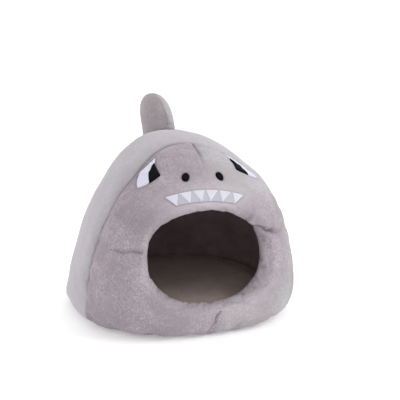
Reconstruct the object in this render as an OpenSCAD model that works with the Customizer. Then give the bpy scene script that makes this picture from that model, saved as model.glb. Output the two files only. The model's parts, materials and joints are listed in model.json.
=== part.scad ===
// Small plush pet cave: a padded dome with an animal face, a round front
// opening with a rolled rim, a stuffed fin on top and a loose cushion inside.
// Units are millimetres. +Z is up, the opening faces -Y, and the origin is the
// middle of the footprint on the floor.

/* [Body] */
// Width of the dome at its widest
body_w = 120; // [100:1:200]
// Depth of the dome before its shift forward at half height
body_d = 120; // [100:1:200]
// Height of the dome without the fin
body_h = 97; // [92:1:104]
// How square the dome is seen from above (2 is round)
squareness = 2.25; // [2:0.05:2.8]

/* [Walls] */
// Thickness of the plush outer skin with its pile
skin_t = 2; // [1:0.1:3]
// Thickness of the padding behind the skin
pad_t = 6; // [4:0.5:10]
// Thickness of the lining
lining_t = 1.5; // [0.8:0.1:2.5]
// Thickness of the foam in the floor
foam_t = 7; // [4:0.5:10]

/* [Opening] */
// Clear width of the opening inside its rolled rim
opening_w = 60; // [44:1:64]
// Clear height of the opening inside its rolled rim
opening_h = 45.5; // [38:0.5:47]
// Height of the middle of the opening above the floor
opening_z = 40.2; // [39:0.1:43]
// How far the opening sits to the left
opening_shift = 1; // [0:0.5:2]
// How far the rolled rim bulges into the opening
rim_bulge = 4.5; // [3:0.25:6]
// How far the face sinks in around the opening
face_dip = 3.5; // [0:0.5:5]

/* [Seam] */
// Distance of the arched seam in front of the origin, at the floor
seam_y = 22; // [18:0.5:25]
// How far the arched seam curves back towards the top
seam_back = 10; // [6:0.5:12]
// How far the arched seam bows forward at two thirds of its height
seam_bow = 6; // [0:0.5:8]

/* [Face] */
// Height of the middle of the nostrils
nostril_z = 79.5; // [78:0.5:82]
// Distance of each nostril from the middle plane
nostril_x = 9; // [7:0.25:11]
// Width of a nostril
nostril_w = 3.8; // [3:0.1:6]
// Height of a nostril on the slope of the face
nostril_h = 4.7; // [3:0.1:6]
// Half of the width of the row of teeth
teeth_half = 20.6; // [17:0.2:22]
// Height of the middle of the upper edge of the teeth
teeth_z = 74; // [73:0.1:75]
// How much lower the ends of the row of teeth are
teeth_arc = 3.4; // [2:0.1:4]
// Height of a tooth
tooth_h = 5.2; // [3.5:0.1:5.4]
// How far the row of teeth sits to the left
teeth_shift = 1; // [0:0.5:2]
// Turn of the nostrils and the teeth on the face, right side lower
mouth_turn = 2.2; // [0:0.1:4]
// Thickness of the stitched parts of the face
stitch_t = 0.6; // [0.4:0.1:1]

/* [Fin] */
// Height of the tip of the fin above the floor
fin_top = 113; // [111:0.5:119]
// Length of the fin from front to back, near its foot
fin_chord = 29.5; // [27:0.5:33]
// Thickness of the fin near its foot
fin_thick = 16.2; // [12:0.2:18]
// Distance of the front of the fin behind the origin
fin_y = 13.5; // [10:0.5:15]
// How far the tip is swept back
fin_sweep = 7; // [5:0.5:12]
// Turn of the fin about the vertical, its front to the right
fin_turn = 5; // [0:1:8]
// How far the fin's foot sits to the left
fin_left = 2; // [0:0.5:3]
// How far the tip leans to the left
fin_lean = 1; // [0:0.5:5]

/* [Cushion] */
// Width of the loose cushion
cushion_w = 90; // [80:1:92]
// Thickness of the loose cushion
cushion_t = 7; // [5:0.5:9]

/* [Hidden] */

// Rows of the dome profile, in hundredths: height over the dome height, half
// width over the half width of the dome, shift of the middle backwards over
// the half depth and shift of the middle to the left over the half width.
PROFILE = [[0, 84, 8, 0.1], [2, 95.2, 6.6, 0.5], [7, 100, 5.2, 0.9], [15, 100, 1, 0.3], [24, 99, -4, 0.4], [36, 95, -9.5, 1],
           [48, 90, -11.5, 1.1], [60, 83, -11.5, 0.9], [72, 72.3, -10, 0.8], [82, 58.7, -3, 1.4], [90, 45, 3, 2.1],
           [96, 29.2, 7.5, 2.5], [99, 12.8, 9.5, 2.6], [100, 0, 10.5, 2.6]];
NR = len(PROFILE) - 1;
Y_MID = -3.35;

// Three layers inside the outer surface: behind the skin, behind the padding
// and behind the lining. Each is the outer surface made smaller.
T1 = skin_t;
T2 = skin_t + pad_t;
T3 = skin_t + pad_t + lining_t;
F1 = skin_t;
F2 = skin_t + foam_t;
F3 = skin_t + foam_t + lining_t;
TH = [0, T1, T2, T3];
FL = [0, F1, F2, F3];
SX = [for (t = TH) 1 - 2 * t / body_w];
SY = [for (t = TH) 1 - 2 * t / body_d];
SZ = [for (k = [0 : 3]) 1 - (FL[k] + TH[k]) / body_h];

// Size and half sizes of the rolled rim where it starts on the face
RIM_A = opening_w / 2 + rim_bulge + 0.5;
RIM_B = opening_h / 2 + rim_bulge - 0.5;

function crom(a, b, c, d, f) =
    0.5 * (2 * b + (c - a) * f + (2 * a - 5 * b + 4 * c - d) * f * f + (3 * b - a - 3 * c + d) * f * f * f);

// Profile row at t, from 0 at the floor to 1 at the top
function row(t) =
    let (x = min(max(t, 0), 1) * NR, i = min(floor(x), NR - 1), f = x - i)
    crom(PROFILE[max(i - 1, 0)], PROFILE[i], PROFILE[i + 1], PROFILE[min(i + 2, NR)], f) / 100;

function sgn_pow(v, e) = (v < 0 ? -1 : 1) * pow(abs(v), e);

// Point of the outer surface at t and angle p, with p = 0 at the front
function outer(t, p) =
    let (r = row(t), e = 2 / squareness, w = max(r[1], 0))
    [body_w / 2 * (w * sgn_pow(sin(p), e) - r[3]),
     body_d / 2 * (r[2] - w * sgn_pow(cos(p), e)) + Y_MID,
     body_h * r[0]];

// How far the face sinks in at x, z
function dip(x, z) =
    let (e = pow(pow(abs(x + opening_shift) / RIM_A, 2.2) + pow(abs(z - opening_z) / RIM_B, 2.2), 1 / 2.2),
         q = min(max((e - 1) / 0.6, 0), 1))
    face_dip * pow(1 - q * q, 2);

// Point of layer k at the plan position q = [forward, sideways] of a unit
// disc: its edge is the foot of the dome and its centre is the top
function lay(k, q) =
    let (rr = min(norm(q), 1), p = atan2(q[1], q[0]), o = outer(1 - rr, p),
         d = o[1] < -seam_y + 8 ? dip(o[0], o[2]) : 0)
    [o[0] * SX[k], o[1] * SY[k] + d, FL[k] + o[2] * SZ[k]];

// t of a height on the outer surface
function t_at(z, lo = 0, hi = 1, n = 24) =
    n == 0 ? (lo + hi) / 2 :
    let (m = (lo + hi) / 2) body_h * row(m)[0] < z ? t_at(z, m, hi, n - 1) : t_at(z, lo, m, n - 1);

// Plan position of the front point at x, z
function plan_xz(x, z) =
    let (t = t_at(z), r = row(t), w = max(r[1] * body_w / 2, 0.001), u = x + r[3] * body_w / 2, k = min(abs(u) / w, 1),
         p = asin(min(pow(k, squareness / 2), 1)) * (u < 0 ? -1 : 1))
    (1 - t) * [cos(p), sin(p)];

// Shift of the seam from the origin at height fraction h
function seam_line(h) = -seam_y - seam_bow * sin(180 * pow(h, 1.8)) + seam_back * pow(h, 6) - Y_MID;

// Plan position of the seam at t, on the right side
function seam_at(t) =
    let (r = row(t), y = seam_line(r[0]),
         c = min(max((r[2] - y * 2 / body_d) / max(r[1], 0.001), 0), 1),
         p = acos(pow(c, squareness / 2)))
    (1 - t) * [cos(p), sin(p)];

// t of the highest point of the seam
function seam_gap(t) = let (r = row(t)) (r[2] - r[1]) - seam_line(r[0]) * 2 / body_d;
function seam_top(lo = 0.5, hi = 1, n = 30) =
    n == 0 ? (lo + hi) / 2 :
    let (m = (lo + hi) / 2) seam_gap(m) < 0 ? seam_top(m, hi, n - 1) : seam_top(lo, m, n - 1);
T_PEAK = seam_top();

// Number of steps along half of the seam, half of the front foot, from the
// seam to the back, from the rim to the seam and round the rolled rim
NS = 15;
NF = 6;
NB = 15;
NG = 7;
NA = 5;

// Seam point for a from -1 (left foot) over 0 (highest) to 1 (right foot)
function seam_pt(a) =
    let (u = abs(a), t = T_PEAK * (1 - pow(u, 1.8)), q = seam_at(t * 0.99999))
    [q[0], q[1] * (a < 0 ? -1 : 1)];
FOOT = seam_pt(1);
FOOT_P = atan2(FOOT[1], FOOT[0]);

SEAM = [for (i = [0 : 2 * NS]) seam_pt((i - NS) / NS)];
BACK = [for (i = [0 : 2 * NS]) let (a = 180 + (180 - FOOT_P) * (NS - i) / NS) [cos(a), sin(a)]];

// Grid of the roof: rows go from the seam to the back, columns from left to right
ROOF = [for (j = [0 : NB]) [for (i = [0 : 2 * NS]) let (b = 1 - pow(1 - j / NB, 1.35)) (1 - b) * SEAM[i] + b * BACK[i]]];

// Ring of the face: along the seam from the left foot to the right foot, then
// back along the front foot
NC = 2 * NS + 2 * NF;
EDGE = [for (i = [0 : NC - 1]) i <= 2 * NS ? SEAM[i] :
        let (a = FOOT_P * (1 - (i - 2 * NS) / NF)) [cos(a), sin(a)]];
RIM_TURN = 48;
// The rim is at the same front position in every layer
function rim(k) = [for (i = [0 : NC - 1])
       let (a = i <= 2 * NS ? 90 - (i - NS) / NS * (90 + RIM_TURN) :
                -RIM_TURN - (i - 2 * NS) / (2 * NF) * (180 - 2 * RIM_TURN))
       plan_xz((RIM_A * sgn_pow(cos(a), 1 / 1.1) - opening_shift) / SX[k],
               (opening_z + RIM_B * sgn_pow(sin(a), 1 / 1.1) - FL[k]) / SZ[k])];
RIMS = [for (k = [0 : 3]) [for (q = rim(k)) lay(k, q)]];
function face(k) = let (R = rim(k)) [for (j = [0 : NG]) [for (i = [0 : NC - 1])
    let (b = pow(j / NG, 1.15)) lay(k, (1 - b) * R[i] + b * EDGE[i])]];

function layer(k, G) = [for (r = G) [for (q = r) lay(k, q)]];

function unit(v) = v / norm(v);

// Roll round the rim from layer ka outside to layer kb inside, as rows of
// points; grow is the bulge towards the opening
HOLE = (lay(0, plan_xz(-opening_shift, opening_z)) + lay(3, plan_xz(-opening_shift, (opening_z - FL[3]) / SZ[3]))) / 2;
function roll(ka, kb, grow) =
    [for (m = [1 : NA - 1]) [for (i = [0 : NC - 1])
        let (a = RIMS[ka][i], b = RIMS[kb][i], c = (a + b) / 2, v = (a - b) / 2,
             h = HOLE - c, d = unit(h - (h * v) / (v * v) * v), s = 180 * m / NA)
        c + v * cos(s) + d * grow * sin(s)]];

function rev(L) = [for (i = [len(L) - 1 : -1 : 0]) L[i]];

// Closed solid between two grids of points with the same number of rows and
// columns. wrap joins the last column to the first; the flags say which outer
// rows and columns are single points or are one shared line
function vid(i, j, ni, nj, wrap, c0, c1) =
    let (jj = wrap ? j % nj : j)
    (c0 && jj == 0) ? 0 : (c1 && jj == nj - 1) ? jj : i * nj + jj;
function quad(a, b, c, d) =
    concat((a == b || b == c || a == c) ? [] : [[a, b, c]], (a == c || c == d || a == d) ? [] : [[a, c, d]]);
function flat(L) = [for (a = L) for (b = a) b];
function pole(i, j, ni, nj, wrap, c0, c1, r0, r1) =
    (r0 && i == 0) ? 0 : (r1 && i == ni - 1) ? (ni - 1) * nj : vid(i, j, ni, nj, wrap, c0, c1);

module slab(A, B, wrap = false, c0 = false, c1 = false, r0 = false, r1 = false, flip = false) {
    ni = len(A);
    nj = len(A[0]);
    n = ni * nj;
    nc = wrap ? nj : nj - 1;
    pts = concat(flat(A), flat(B));
    top = flat([for (i = [0 : ni - 2]) for (j = [0 : nc - 1])
        quad(pole(i, j, ni, nj, wrap, c0, c1, r0, r1), pole(i, j + 1, ni, nj, wrap, c0, c1, r0, r1),
             pole(i + 1, j + 1, ni, nj, wrap, c0, c1, r0, r1), pole(i + 1, j, ni, nj, wrap, c0, c1, r0, r1))]);
    low = [for (f = top) [f[0] + n, f[2] + n, f[1] + n]];
    first = r0 ? [] : flat([for (j = [0 : nc - 1])
        let (a = pole(0, j, ni, nj, wrap, c0, c1, r0, r1), b = pole(0, j + 1, ni, nj, wrap, c0, c1, r0, r1))
        a == b ? [] : quad(b, a, a + n, b + n)]);
    last = r1 ? [] : flat([for (j = [0 : nc - 1])
        let (a = pole(ni - 1, j, ni, nj, wrap, c0, c1, r0, r1), b = pole(ni - 1, j + 1, ni, nj, wrap, c0, c1, r0, r1))
        a == b ? [] : quad(a, b, b + n, a + n)]);
    left = (wrap || c0) ? [] : flat([for (i = [0 : ni - 2])
        let (a = pole(i, 0, ni, nj, wrap, c0, c1, r0, r1), b = pole(i + 1, 0, ni, nj, wrap, c0, c1, r0, r1))
        quad(a, b, b + n, a + n)]);
    right = (wrap || c1) ? [] : flat([for (i = [0 : ni - 2])
        let (a = pole(i, nj - 1, ni, nj, wrap, c0, c1, r0, r1), b = pole(i + 1, nj - 1, ni, nj, wrap, c0, c1, r0, r1))
        quad(b, a, a + n, b + n)]);
    all = concat(top, low, first, last, left, right);
    polyhedron(pts, flip ? all : [for (f = all) [f[0], f[2], f[1]]], convexity = 8);
}

// ---- skin, padding and lining of the face and the roof -------------------

// Rows of the face for its skin, from the inner end of the roll outwards
function face_rows(k, kin, grow) = concat([RIMS[kin]], rev(roll(k, kin, grow)), face(k));

module face_panel() {
    color([0.66, 0.62, 0.65]) slab(face_rows(0, 3, rim_bulge), face_rows(1, 2, rim_bulge - skin_t), wrap = true);
}

module roof_panel() {
    color([0.76, 0.74, 0.75]) slab(layer(0, ROOF), layer(1, ROOF), c0 = true, c1 = true);
}

// Closed solid whose rows of points make one surface. ends: 0 joins the last
// row to the first, 1 closes the first and the last row with single points.
// alt is true where a cell is cut along its other diagonal, as its neighbour is
module wrapped(R, ends = 0, alt = function (i, j) false) {
    ni = len(R);
    nj = len(R[0]);
    last = ends == 1 ? ni - 2 : ni - 1;
    id = function (i, j) (ends == 1 && i == 0) ? 0 : (ends == 1 && i == ni - 1) ? (ni - 1) * nj : (i % ni) * nj + j % nj;
    polyhedron(flat(R), flat([for (i = [0 : last]) for (j = [0 : nj - 1])
        let (a = id(i, j), b = id(i, j + 1), c = id(i + 1, j + 1), d = id(i + 1, j))
        alt(i, j) ? quad(b, c, d, a) : quad(a, b, c, d)]), convexity = 8);
}

// The padding is closed round the rim by the roll
module face_padding() {
    color([0.93, 0.92, 0.9])
    wrapped(concat(rev(face(1)), roll(1, 2, rim_bulge - skin_t), face(2)), alt = function (i, j) i < NG + NA);
}

module roof_padding() {
    color([0.93, 0.92, 0.9]) slab(layer(1, ROOF), layer(2, ROOF), c0 = true, c1 = true);
}

module face_lining() {
    color([0.33, 0.3, 0.31]) slab(face(2), face(3), wrap = true);
}

module roof_lining() {
    color([0.33, 0.3, 0.31]) slab(layer(2, ROOF), layer(3, ROOF), c0 = true, c1 = true);
}

// ---- floor ---------------------------------------------------------------

// Loop of the foot: round the back from the left, then along the front
LOOP = concat(BACK, [for (i = [2 * NS + 1 : NC - 1]) EDGE[i]]);
function foot(k) = [for (q = LOOP) lay(k, q)];
function mid(L) = [for (c = [0 : 2]) [for (p = L) p[c]] * [for (p = L) 1 / len(L)]];
module plate(k) {
    lo = foot(k);
    hi = foot(k + 1);
    slab([[for (p = hi) mid(hi)], hi], [[for (p = lo) mid(lo)], lo], wrap = true, r0 = true);
}

module base_panel() {
    color([0.6, 0.57, 0.6]) plate(0);
}

module base_foam() {
    color([0.9, 0.88, 0.84]) plate(1);
}

module floor_lining() {
    color([0.33, 0.3, 0.31]) plate(2);
}

// ---- cushion -------------------------------------------------------------

CUSH_Y = 0.5;
CUSH_N = 36;
CUSH_Z = F3 + 0.05 + cushion_t / 2;
COVER = 0.9;

// Ring of the cushion at fraction f of its size, inset by e; up is 1 or -1
function cush(f, e, up) =
    let (h = (cushion_t / 2 - e) * sqrt(max(1 - pow(f, up > 0 ? 3 : 5), 0)))
    [for (i = [0 : CUSH_N - 1]) let (a = 360 * i / CUSH_N)
        [(cushion_w / 2 - e) * f * sgn_pow(sin(a), 0.9), CUSH_Y - (cushion_w / 2 - 1 - e) * f * sgn_pow(cos(a), 0.9),
         CUSH_Z + up * h]];
function cush_rows(e, up) = [for (i = [0 : 6]) cush(sin(15 * i), e, up)];

module cushion_top_cover() {
    color([0.62, 0.6, 0.62]) slab(cush_rows(0, 1), cush_rows(COVER, 1), wrap = true, r0 = true, flip = true);
}

module cushion_bottom_cover() {
    color([0.62, 0.6, 0.62]) slab(cush_rows(0, -1), cush_rows(COVER, -1), wrap = true, r0 = true);
}

module cushion_filling() {
    up = cush_rows(COVER, 1);
    dn = cush_rows(COVER, -1);
    color([0.95, 0.94, 0.92]) wrapped(concat(up, [for (i = [5 : -1 : 0]) dn[i]]), ends = 1);
}

// ---- fin -----------------------------------------------------------------

FIN_Z0 = 72;
FIN_Z1 = 95;
FIN_COVER = 1.4;
FIN_N = 8;
FIN_V = concat([0], [for (i = [0 : 7]) FIN_Z1 - FIN_Z0 + (fin_top - FIN_Z1) * (1 - pow(1 - i / 7, 1.8))]);

// Point of the fin at level i and angle a from the front, a > 0 on the left;
// e is the inset
function fin_pt(i, a, e) =
    let (z = FIN_Z0 + FIN_V[i], u = max((z - FIN_Z1) / (fin_top - FIN_Z1), 0), lo = min((z - FIN_Z0) / (FIN_Z1 - FIN_Z0), 1),
         g = pow(max(1 - pow(u, 3.4), 0), 0.55), half = fin_chord / 2 * (0.62 + 0.38 * lo),
         yc = fin_y + half + fin_sweep * u, top = i == len(FIN_V) - 1,
         c = top ? 0 : max(half * g - e, 0.3), t = top ? 0 : max(fin_thick / 2 * g - e, 0.3))
    let (x = -t * sgn_pow(sin(a), 1.1), y = -c * cos(a))
    [x * cos(fin_turn) - y * sin(fin_turn) - fin_left - fin_lean * u,
     yc + x * sin(fin_turn) + y * cos(fin_turn), z - e * u * u];
function fin_half(e, side) = [for (i = [0 : len(FIN_V) - 1]) [for (j = [0 : FIN_N]) fin_pt(i, side * 180 * j / FIN_N, e)]];
function fin_full(e) = [for (i = [0 : len(FIN_V) - 1]) [for (j = [0 : 2 * FIN_N - 1]) fin_pt(i, 180 * j / FIN_N, e)]];

// Closed dome below the roof surface; it cuts the foot of the fin to shape
module under_roof() {
    G = layer(0, ROOF);
    ni = len(G);
    nj = len(G[0]);
    n = ni * nj;
    id = function (i, j) vid(i, j, ni, nj, false, true, true);
    faces = concat(
        flat([for (i = [0 : ni - 2]) for (j = [0 : nj - 2]) quad(id(i, j), id(i, j + 1), id(i + 1, j + 1), id(i + 1, j))]),
        [for (j = [0 : nj - 2]) [id(0, j + 1), id(0, j), n]],
        [for (j = [0 : nj - 2]) [id(ni - 1, j), id(ni - 1, j + 1), n]]);
    polyhedron(concat(flat(G), [[0, 0, 30]]), [for (f = faces) [f[0], f[2], f[1]]], convexity = 6);
}

module fin_left_panel() {
    color([0.68, 0.65, 0.67]) difference() {
        slab(fin_half(0, 1), fin_half(FIN_COVER, 1), r1 = true, flip = true);
        under_roof();
    }
}

module fin_right_panel() {
    color([0.72, 0.69, 0.71]) difference() {
        slab(fin_half(0, -1), fin_half(FIN_COVER, -1), r1 = true);
        under_roof();
    }
}

module fin_stuffing() {
    F = fin_full(FIN_COVER);
    low = [for (p = F[0]) mid(F[0])];
    color([0.95, 0.94, 0.92]) difference() {
        wrapped(concat([low], F), ends = 1, alt = function (i, j) j >= FIN_N);
        under_roof();
    }
}

// ---- stitched face -------------------------------------------------------

// Point at distance h outside the face, for the front position x, z
function out_at(h, p) =
    let (q = plan_xz(p[0], p[1]), o = outer(1 - norm(q), atan2(q[1], q[0])))
    [o[0] * (1 + 2 * h / body_w), o[1] * (1 + 2 * h / body_d) + dip(o[0], o[2]), o[2] * (1 + h / body_h)];

// Outline with every edge cut into m parts
function cut(L, m) = flat([for (i = [0 : len(L) - 1]) let (a = L[i], b = L[(i + 1) % len(L)])
    [for (k = [0 : m - 1]) a + (b - a) * k / m]]);

// Thin plate on the face: outline L in x, z around the point c, from h0 to h1
module patch(L, c, h0, h1, rings = 2) {
    rows = [for (r = [0 : rings]) [for (p = L) c + (p - c) * r / rings]];
    slab([for (r = rows) [for (p = r) out_at(h1, p)]], [for (r = rows) [for (p = r) out_at(h0, p)]],
         wrap = true, r0 = true);
}

UNDER = 0.15;
function mirror_x(L) = [for (i = [len(L) - 1 : -1 : 0]) [-L[i][0], L[i][1]]];

// Outlines of the right eye: the white follows the seam, the pupil is cut off
// above by the slanted brow
EYE = [[19.3, 87.8], [22.8, 85.6], [26.6, 83.1], [29.2, 80.9], [31.1, 78.5], [32.2, 76.3], [32.6, 74.6],
       [29.4, 75.95], [26.7, 77.3], [21, 80.7], [21.35, 83.5], [20.4, 86.2]];
PUPIL = [[20.95, 85.4], [22.4, 84.4], [24, 82.8], [25.5, 81], [26.4, 79.1], [26.75, 77.1], [20.55, 80.6], [21.05, 82.2], [21.2, 83.9]];
EYE_MID = [25.5, 80.8];
PUPIL_MID = [23, 81.3];

module eye_white_right() {
    color([0.88, 0.88, 0.94]) patch(cut(EYE, 2), EYE_MID, UNDER, UNDER + stitch_t);
}

module eye_white_left() {
    color([0.88, 0.88, 0.94]) patch(cut(mirror_x(EYE), 2), [-EYE_MID[0], EYE_MID[1]], UNDER, UNDER + stitch_t);
}

module pupil_right() {
    color([0.06, 0.05, 0.06])
    patch(cut(PUPIL, 2), PUPIL_MID, UNDER * 2 + stitch_t, UNDER * 2 + stitch_t * 2);
}

module pupil_left() {
    color([0.06, 0.05, 0.06])
    patch(cut(mirror_x(PUPIL), 2), [-PUPIL_MID[0], PUPIL_MID[1]], UNDER * 2 + stitch_t, UNDER * 2 + stitch_t * 2);
}

// Front position turned with the nostrils and the teeth about their middle
TURN_Z = (nostril_z + teeth_z) / 2;
function turned(x, z) =
    [x * cos(mouth_turn) + (z - TURN_Z) * sin(mouth_turn), TURN_Z + (z - TURN_Z) * cos(mouth_turn) - x * sin(mouth_turn)];

// Nostril: an oval whose slanted upper end is nearer the middle
function nostril(s) = [for (i = [0 : 15]) let (a = -360 * i / 16, u = nostril_w / 2 * cos(a), v = nostril_h * 0.36 * sin(a))
    turned(s * nostril_x + u - s * 0.28 * v, nostril_z + v)];

module nostril_right() {
    color([0.06, 0.05, 0.06]) patch(nostril(1), turned(nostril_x, nostril_z), UNDER, UNDER + stitch_t);
}

module nostril_left() {
    color([0.06, 0.05, 0.06]) patch(nostril(-1), turned(-nostril_x, nostril_z), UNDER, UNDER + stitch_t);
}

// Upper edge of the row of teeth at x measured from its middle
function gum(x) = teeth_z - teeth_arc * pow(x / teeth_half, 2);
TIPS = [0.75, 0.7, 0.58, 0.2, 0.1, 0.08];
function tip_x(i) = teeth_half * ((i + TIPS[i]) / 3 - 1);
function on_row(x, z) = turned(x - teeth_shift, z);

module mouth_band() {
    x0 = tip_x(0);
    x1 = tip_x(5);
    up = [for (i = [0 : 24]) let (x = teeth_half * (1 - i / 12)) on_row(x, gum(x))];
    dn = [for (i = [0 : 16]) let (x = x0 + (x1 - x0) * i / 16) on_row(x, gum(x) - tooth_h + 0.25)];
    color([0.74, 0.73, 0.77]) patch(rev(concat(up, dn)), on_row(0, teeth_z - tooth_h / 2), UNDER, UNDER + stitch_t * 0.7, 3);
}

module tooth(i) {
    x0 = teeth_half * (i / 3 - 1) + 0.15;
    x1 = teeth_half * ((i + 1) / 3 - 1) - 0.15;
    xt = tip_x(i);
    up = [for (k = [0 : 4]) let (x = x1 + (x0 - x1) * k / 4) on_row(x, gum(x))];
    tip = on_row(xt, gum(xt) - tooth_h);
    L = concat(up, [(up[4] * 2 + tip) / 3, (up[4] + tip * 2) / 3, tip, (up[0] + tip * 2) / 3, (up[0] * 2 + tip) / 3]);
    c = (up[0] + up[4] + tip) / 3;
    color([0.9, 0.89, 0.94]) patch(rev(L), c, UNDER * 2 + stitch_t * 0.7, UNDER * 2 + stitch_t * 1.7);
}

module tooth_1() { tooth(0); }
module tooth_2() { tooth(1); }
module tooth_3() { tooth(2); }
module tooth_4() { tooth(3); }
module tooth_5() { tooth(4); }
module tooth_6() { tooth(5); }

face_panel();
roof_panel();
base_panel();
face_padding();
roof_padding();
base_foam();
face_lining();
roof_lining();
floor_lining();
cushion_top_cover();
cushion_bottom_cover();
cushion_filling();
fin_left_panel();
fin_right_panel();
fin_stuffing();
eye_white_left();
eye_white_right();
pupil_left();
pupil_right();
nostril_left();
nostril_right();
mouth_band();
tooth_1();
tooth_2();
tooth_3();
tooth_4();
tooth_5();
tooth_6();
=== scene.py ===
import json
import math

import bpy
import numpy as np
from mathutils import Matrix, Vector, kdtree

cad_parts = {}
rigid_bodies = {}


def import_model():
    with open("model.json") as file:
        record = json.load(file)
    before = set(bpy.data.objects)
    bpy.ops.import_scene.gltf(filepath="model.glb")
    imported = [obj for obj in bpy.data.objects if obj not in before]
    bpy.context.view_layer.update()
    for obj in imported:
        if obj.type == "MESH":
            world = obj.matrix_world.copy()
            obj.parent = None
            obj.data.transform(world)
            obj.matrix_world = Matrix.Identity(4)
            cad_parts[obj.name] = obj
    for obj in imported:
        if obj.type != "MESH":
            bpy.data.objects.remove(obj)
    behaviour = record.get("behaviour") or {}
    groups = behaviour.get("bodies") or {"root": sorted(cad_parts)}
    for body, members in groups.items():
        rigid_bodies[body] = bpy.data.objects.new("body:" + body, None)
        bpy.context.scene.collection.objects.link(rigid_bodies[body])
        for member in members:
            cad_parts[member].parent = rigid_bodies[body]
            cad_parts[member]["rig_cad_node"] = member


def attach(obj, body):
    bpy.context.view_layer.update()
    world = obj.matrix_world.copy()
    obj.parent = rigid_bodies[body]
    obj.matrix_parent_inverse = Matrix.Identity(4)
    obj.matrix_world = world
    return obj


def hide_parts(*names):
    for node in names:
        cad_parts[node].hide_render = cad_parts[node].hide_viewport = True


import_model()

for o in [o for o in bpy.data.objects if o.type in ("MESH", "LIGHT", "CAMERA") and "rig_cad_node" not in o]:
    bpy.data.objects.remove(o)
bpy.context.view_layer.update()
scene = bpy.context.scene

# ---- camera, light and floor ---------------------------------------------

AZ, EL, DIST = math.radians(-18.5), math.radians(14.0), 0.562
AIM = Vector((0.0, 0.00215, 0.0526))
back = Vector((math.sin(AZ) * math.cos(EL), -math.cos(AZ) * math.cos(EL), math.sin(EL)))
cam_data = bpy.data.cameras.new("camera")
cam = bpy.data.objects.new("camera", cam_data)
scene.collection.objects.link(cam)
cam.location = AIM + back * DIST
cam.rotation_mode = "QUATERNION"
cam.rotation_quaternion = (-back).to_track_quat("-Z", "Y")
cam_data.sensor_width = 36.0
cam_data.lens = 92.06
cam_data.shift_x = 0.0588
cam_data.shift_y = 0.025
cam_data.clip_start, cam_data.clip_end = 0.01, 20.0
scene.camera = cam
scene.view_settings.view_transform = "Standard"


def area_light(name, loc, aim, size, power, colour=(1, 1, 1)):
    d = bpy.data.lights.new(name, "AREA")
    d.shape = "DISK"
    d.size = size
    d.energy = power
    d.color = colour
    o = bpy.data.objects.new(name, d)
    o.location = loc
    o.rotation_mode = "QUATERNION"
    o.rotation_quaternion = (Vector(aim) - Vector(loc)).to_track_quat("-Z", "Y")
    scene.collection.objects.link(o)
    return o


area_light("key", (0.62, -0.30, 0.62), (0, 0, 0.05), 0.55, 2.8)
area_light("top", (0.05, 0.35, 0.95), (0, 0, 0.05), 0.8, 1.9)
area_light("left_fill", (-0.85, 0.45, 0.35), (0, 0, 0.05), 0.6, 1.0)
area_light("front_fill", (-0.40, -0.85, 0.22), (0, 0, 0.05), 0.5, 0.2)

world = bpy.data.worlds.new("world")
scene.world = world
world.use_nodes = True
bg = world.node_tree.nodes["Background"]
bg.inputs[0].default_value = (1.0, 1.0, 1.0, 1.0)
bg.inputs[1].default_value = 0.53


def new_material(name):
    m = bpy.data.materials.new(name)
    m.use_nodes = True
    nt = m.node_tree
    return m, nt, nt.nodes["Principled BSDF"]


def floor_material():
    m, nt, b = new_material("floor_paper")
    n = nt.nodes.new("ShaderNodeTexNoise")
    n.inputs["Scale"].default_value = 60.0
    r = nt.nodes.new("ShaderNodeValToRGB")
    r.color_ramp.elements[0].color = (0.93, 0.93, 0.93, 1)
    r.color_ramp.elements[1].color = (0.95, 0.95, 0.95, 1)
    nt.links.new(n.outputs["Fac"], r.inputs["Fac"])
    nt.links.new(r.outputs["Color"], b.inputs["Base Color"])
    b.inputs["Roughness"].default_value = 0.9
    b.inputs["Emission Color"].default_value = (1, 1, 1, 1)
    b.inputs["Emission Strength"].default_value = 0.22
    return m


def make_floor():
    # a sheet that curves up all round the object
    prof = [(0.6, 0.0), (1.3, 0.0)] + [(1.3 + 0.9 * math.sin(a), 0.9 - 0.9 * math.cos(a)) for a in np.linspace(0.1, math.pi / 2, 16)] + [(2.2, 2.6)]
    n = len(prof)
    verts = [(r * math.cos(2 * math.pi * k / 64), r * math.sin(2 * math.pi * k / 64), z) for k in range(64) for r, z in prof] + [(0, 0, 0)]
    faces = [(n * k + i, n * k + i + 1, n * ((k + 1) % 64) + i + 1, n * ((k + 1) % 64) + i) for k in range(64) for i in range(n - 1)]
    faces += [(64 * n, n * k, n * ((k + 1) % 64)) for k in range(64)]
    me = bpy.data.meshes.new("floor")
    me.from_pydata(verts, [], faces)
    for p in me.polygons:
        p.use_smooth = True
    o = bpy.data.objects.new("floor", me)
    scene.collection.objects.link(o)
    me.materials.append(floor_material())


make_floor()

# ---- noise ----------------------------------------------------------------


def hashed(i, j, k, seed):
    h = (i.astype(np.int64) * 73856093) ^ (j.astype(np.int64) * 19349663) ^ (k.astype(np.int64) * 83492791) ^ (seed * 2654435761)
    h = (h ^ (h >> 13)) * 1274126177 & 0x7FFFFFFF
    h = (h ^ (h >> 15)) * 668265263 & 0x7FFFFFFF
    return (h & 0xFFFFF) / float(0xFFFFF) * 2 - 1


def noise(P, wave, seed):
    """Smooth value noise from -1 to 1 of points in mm."""
    Q = P / wave + 1000.0
    F = np.floor(Q)
    f = Q - F
    f = f * f * f * (f * (f * 6 - 15) + 10)
    I = F.astype(np.int64)
    out = 0
    for a in (0, 1):
        for b in (0, 1):
            for c in (0, 1):
                w = (f[..., 0] if a else 1 - f[..., 0]) * (f[..., 1] if b else 1 - f[..., 1]) * (f[..., 2] if c else 1 - f[..., 2])
                out = out + w * hashed(I[..., 0] + a, I[..., 1] + b, I[..., 2] + c, seed)
    return out


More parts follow.
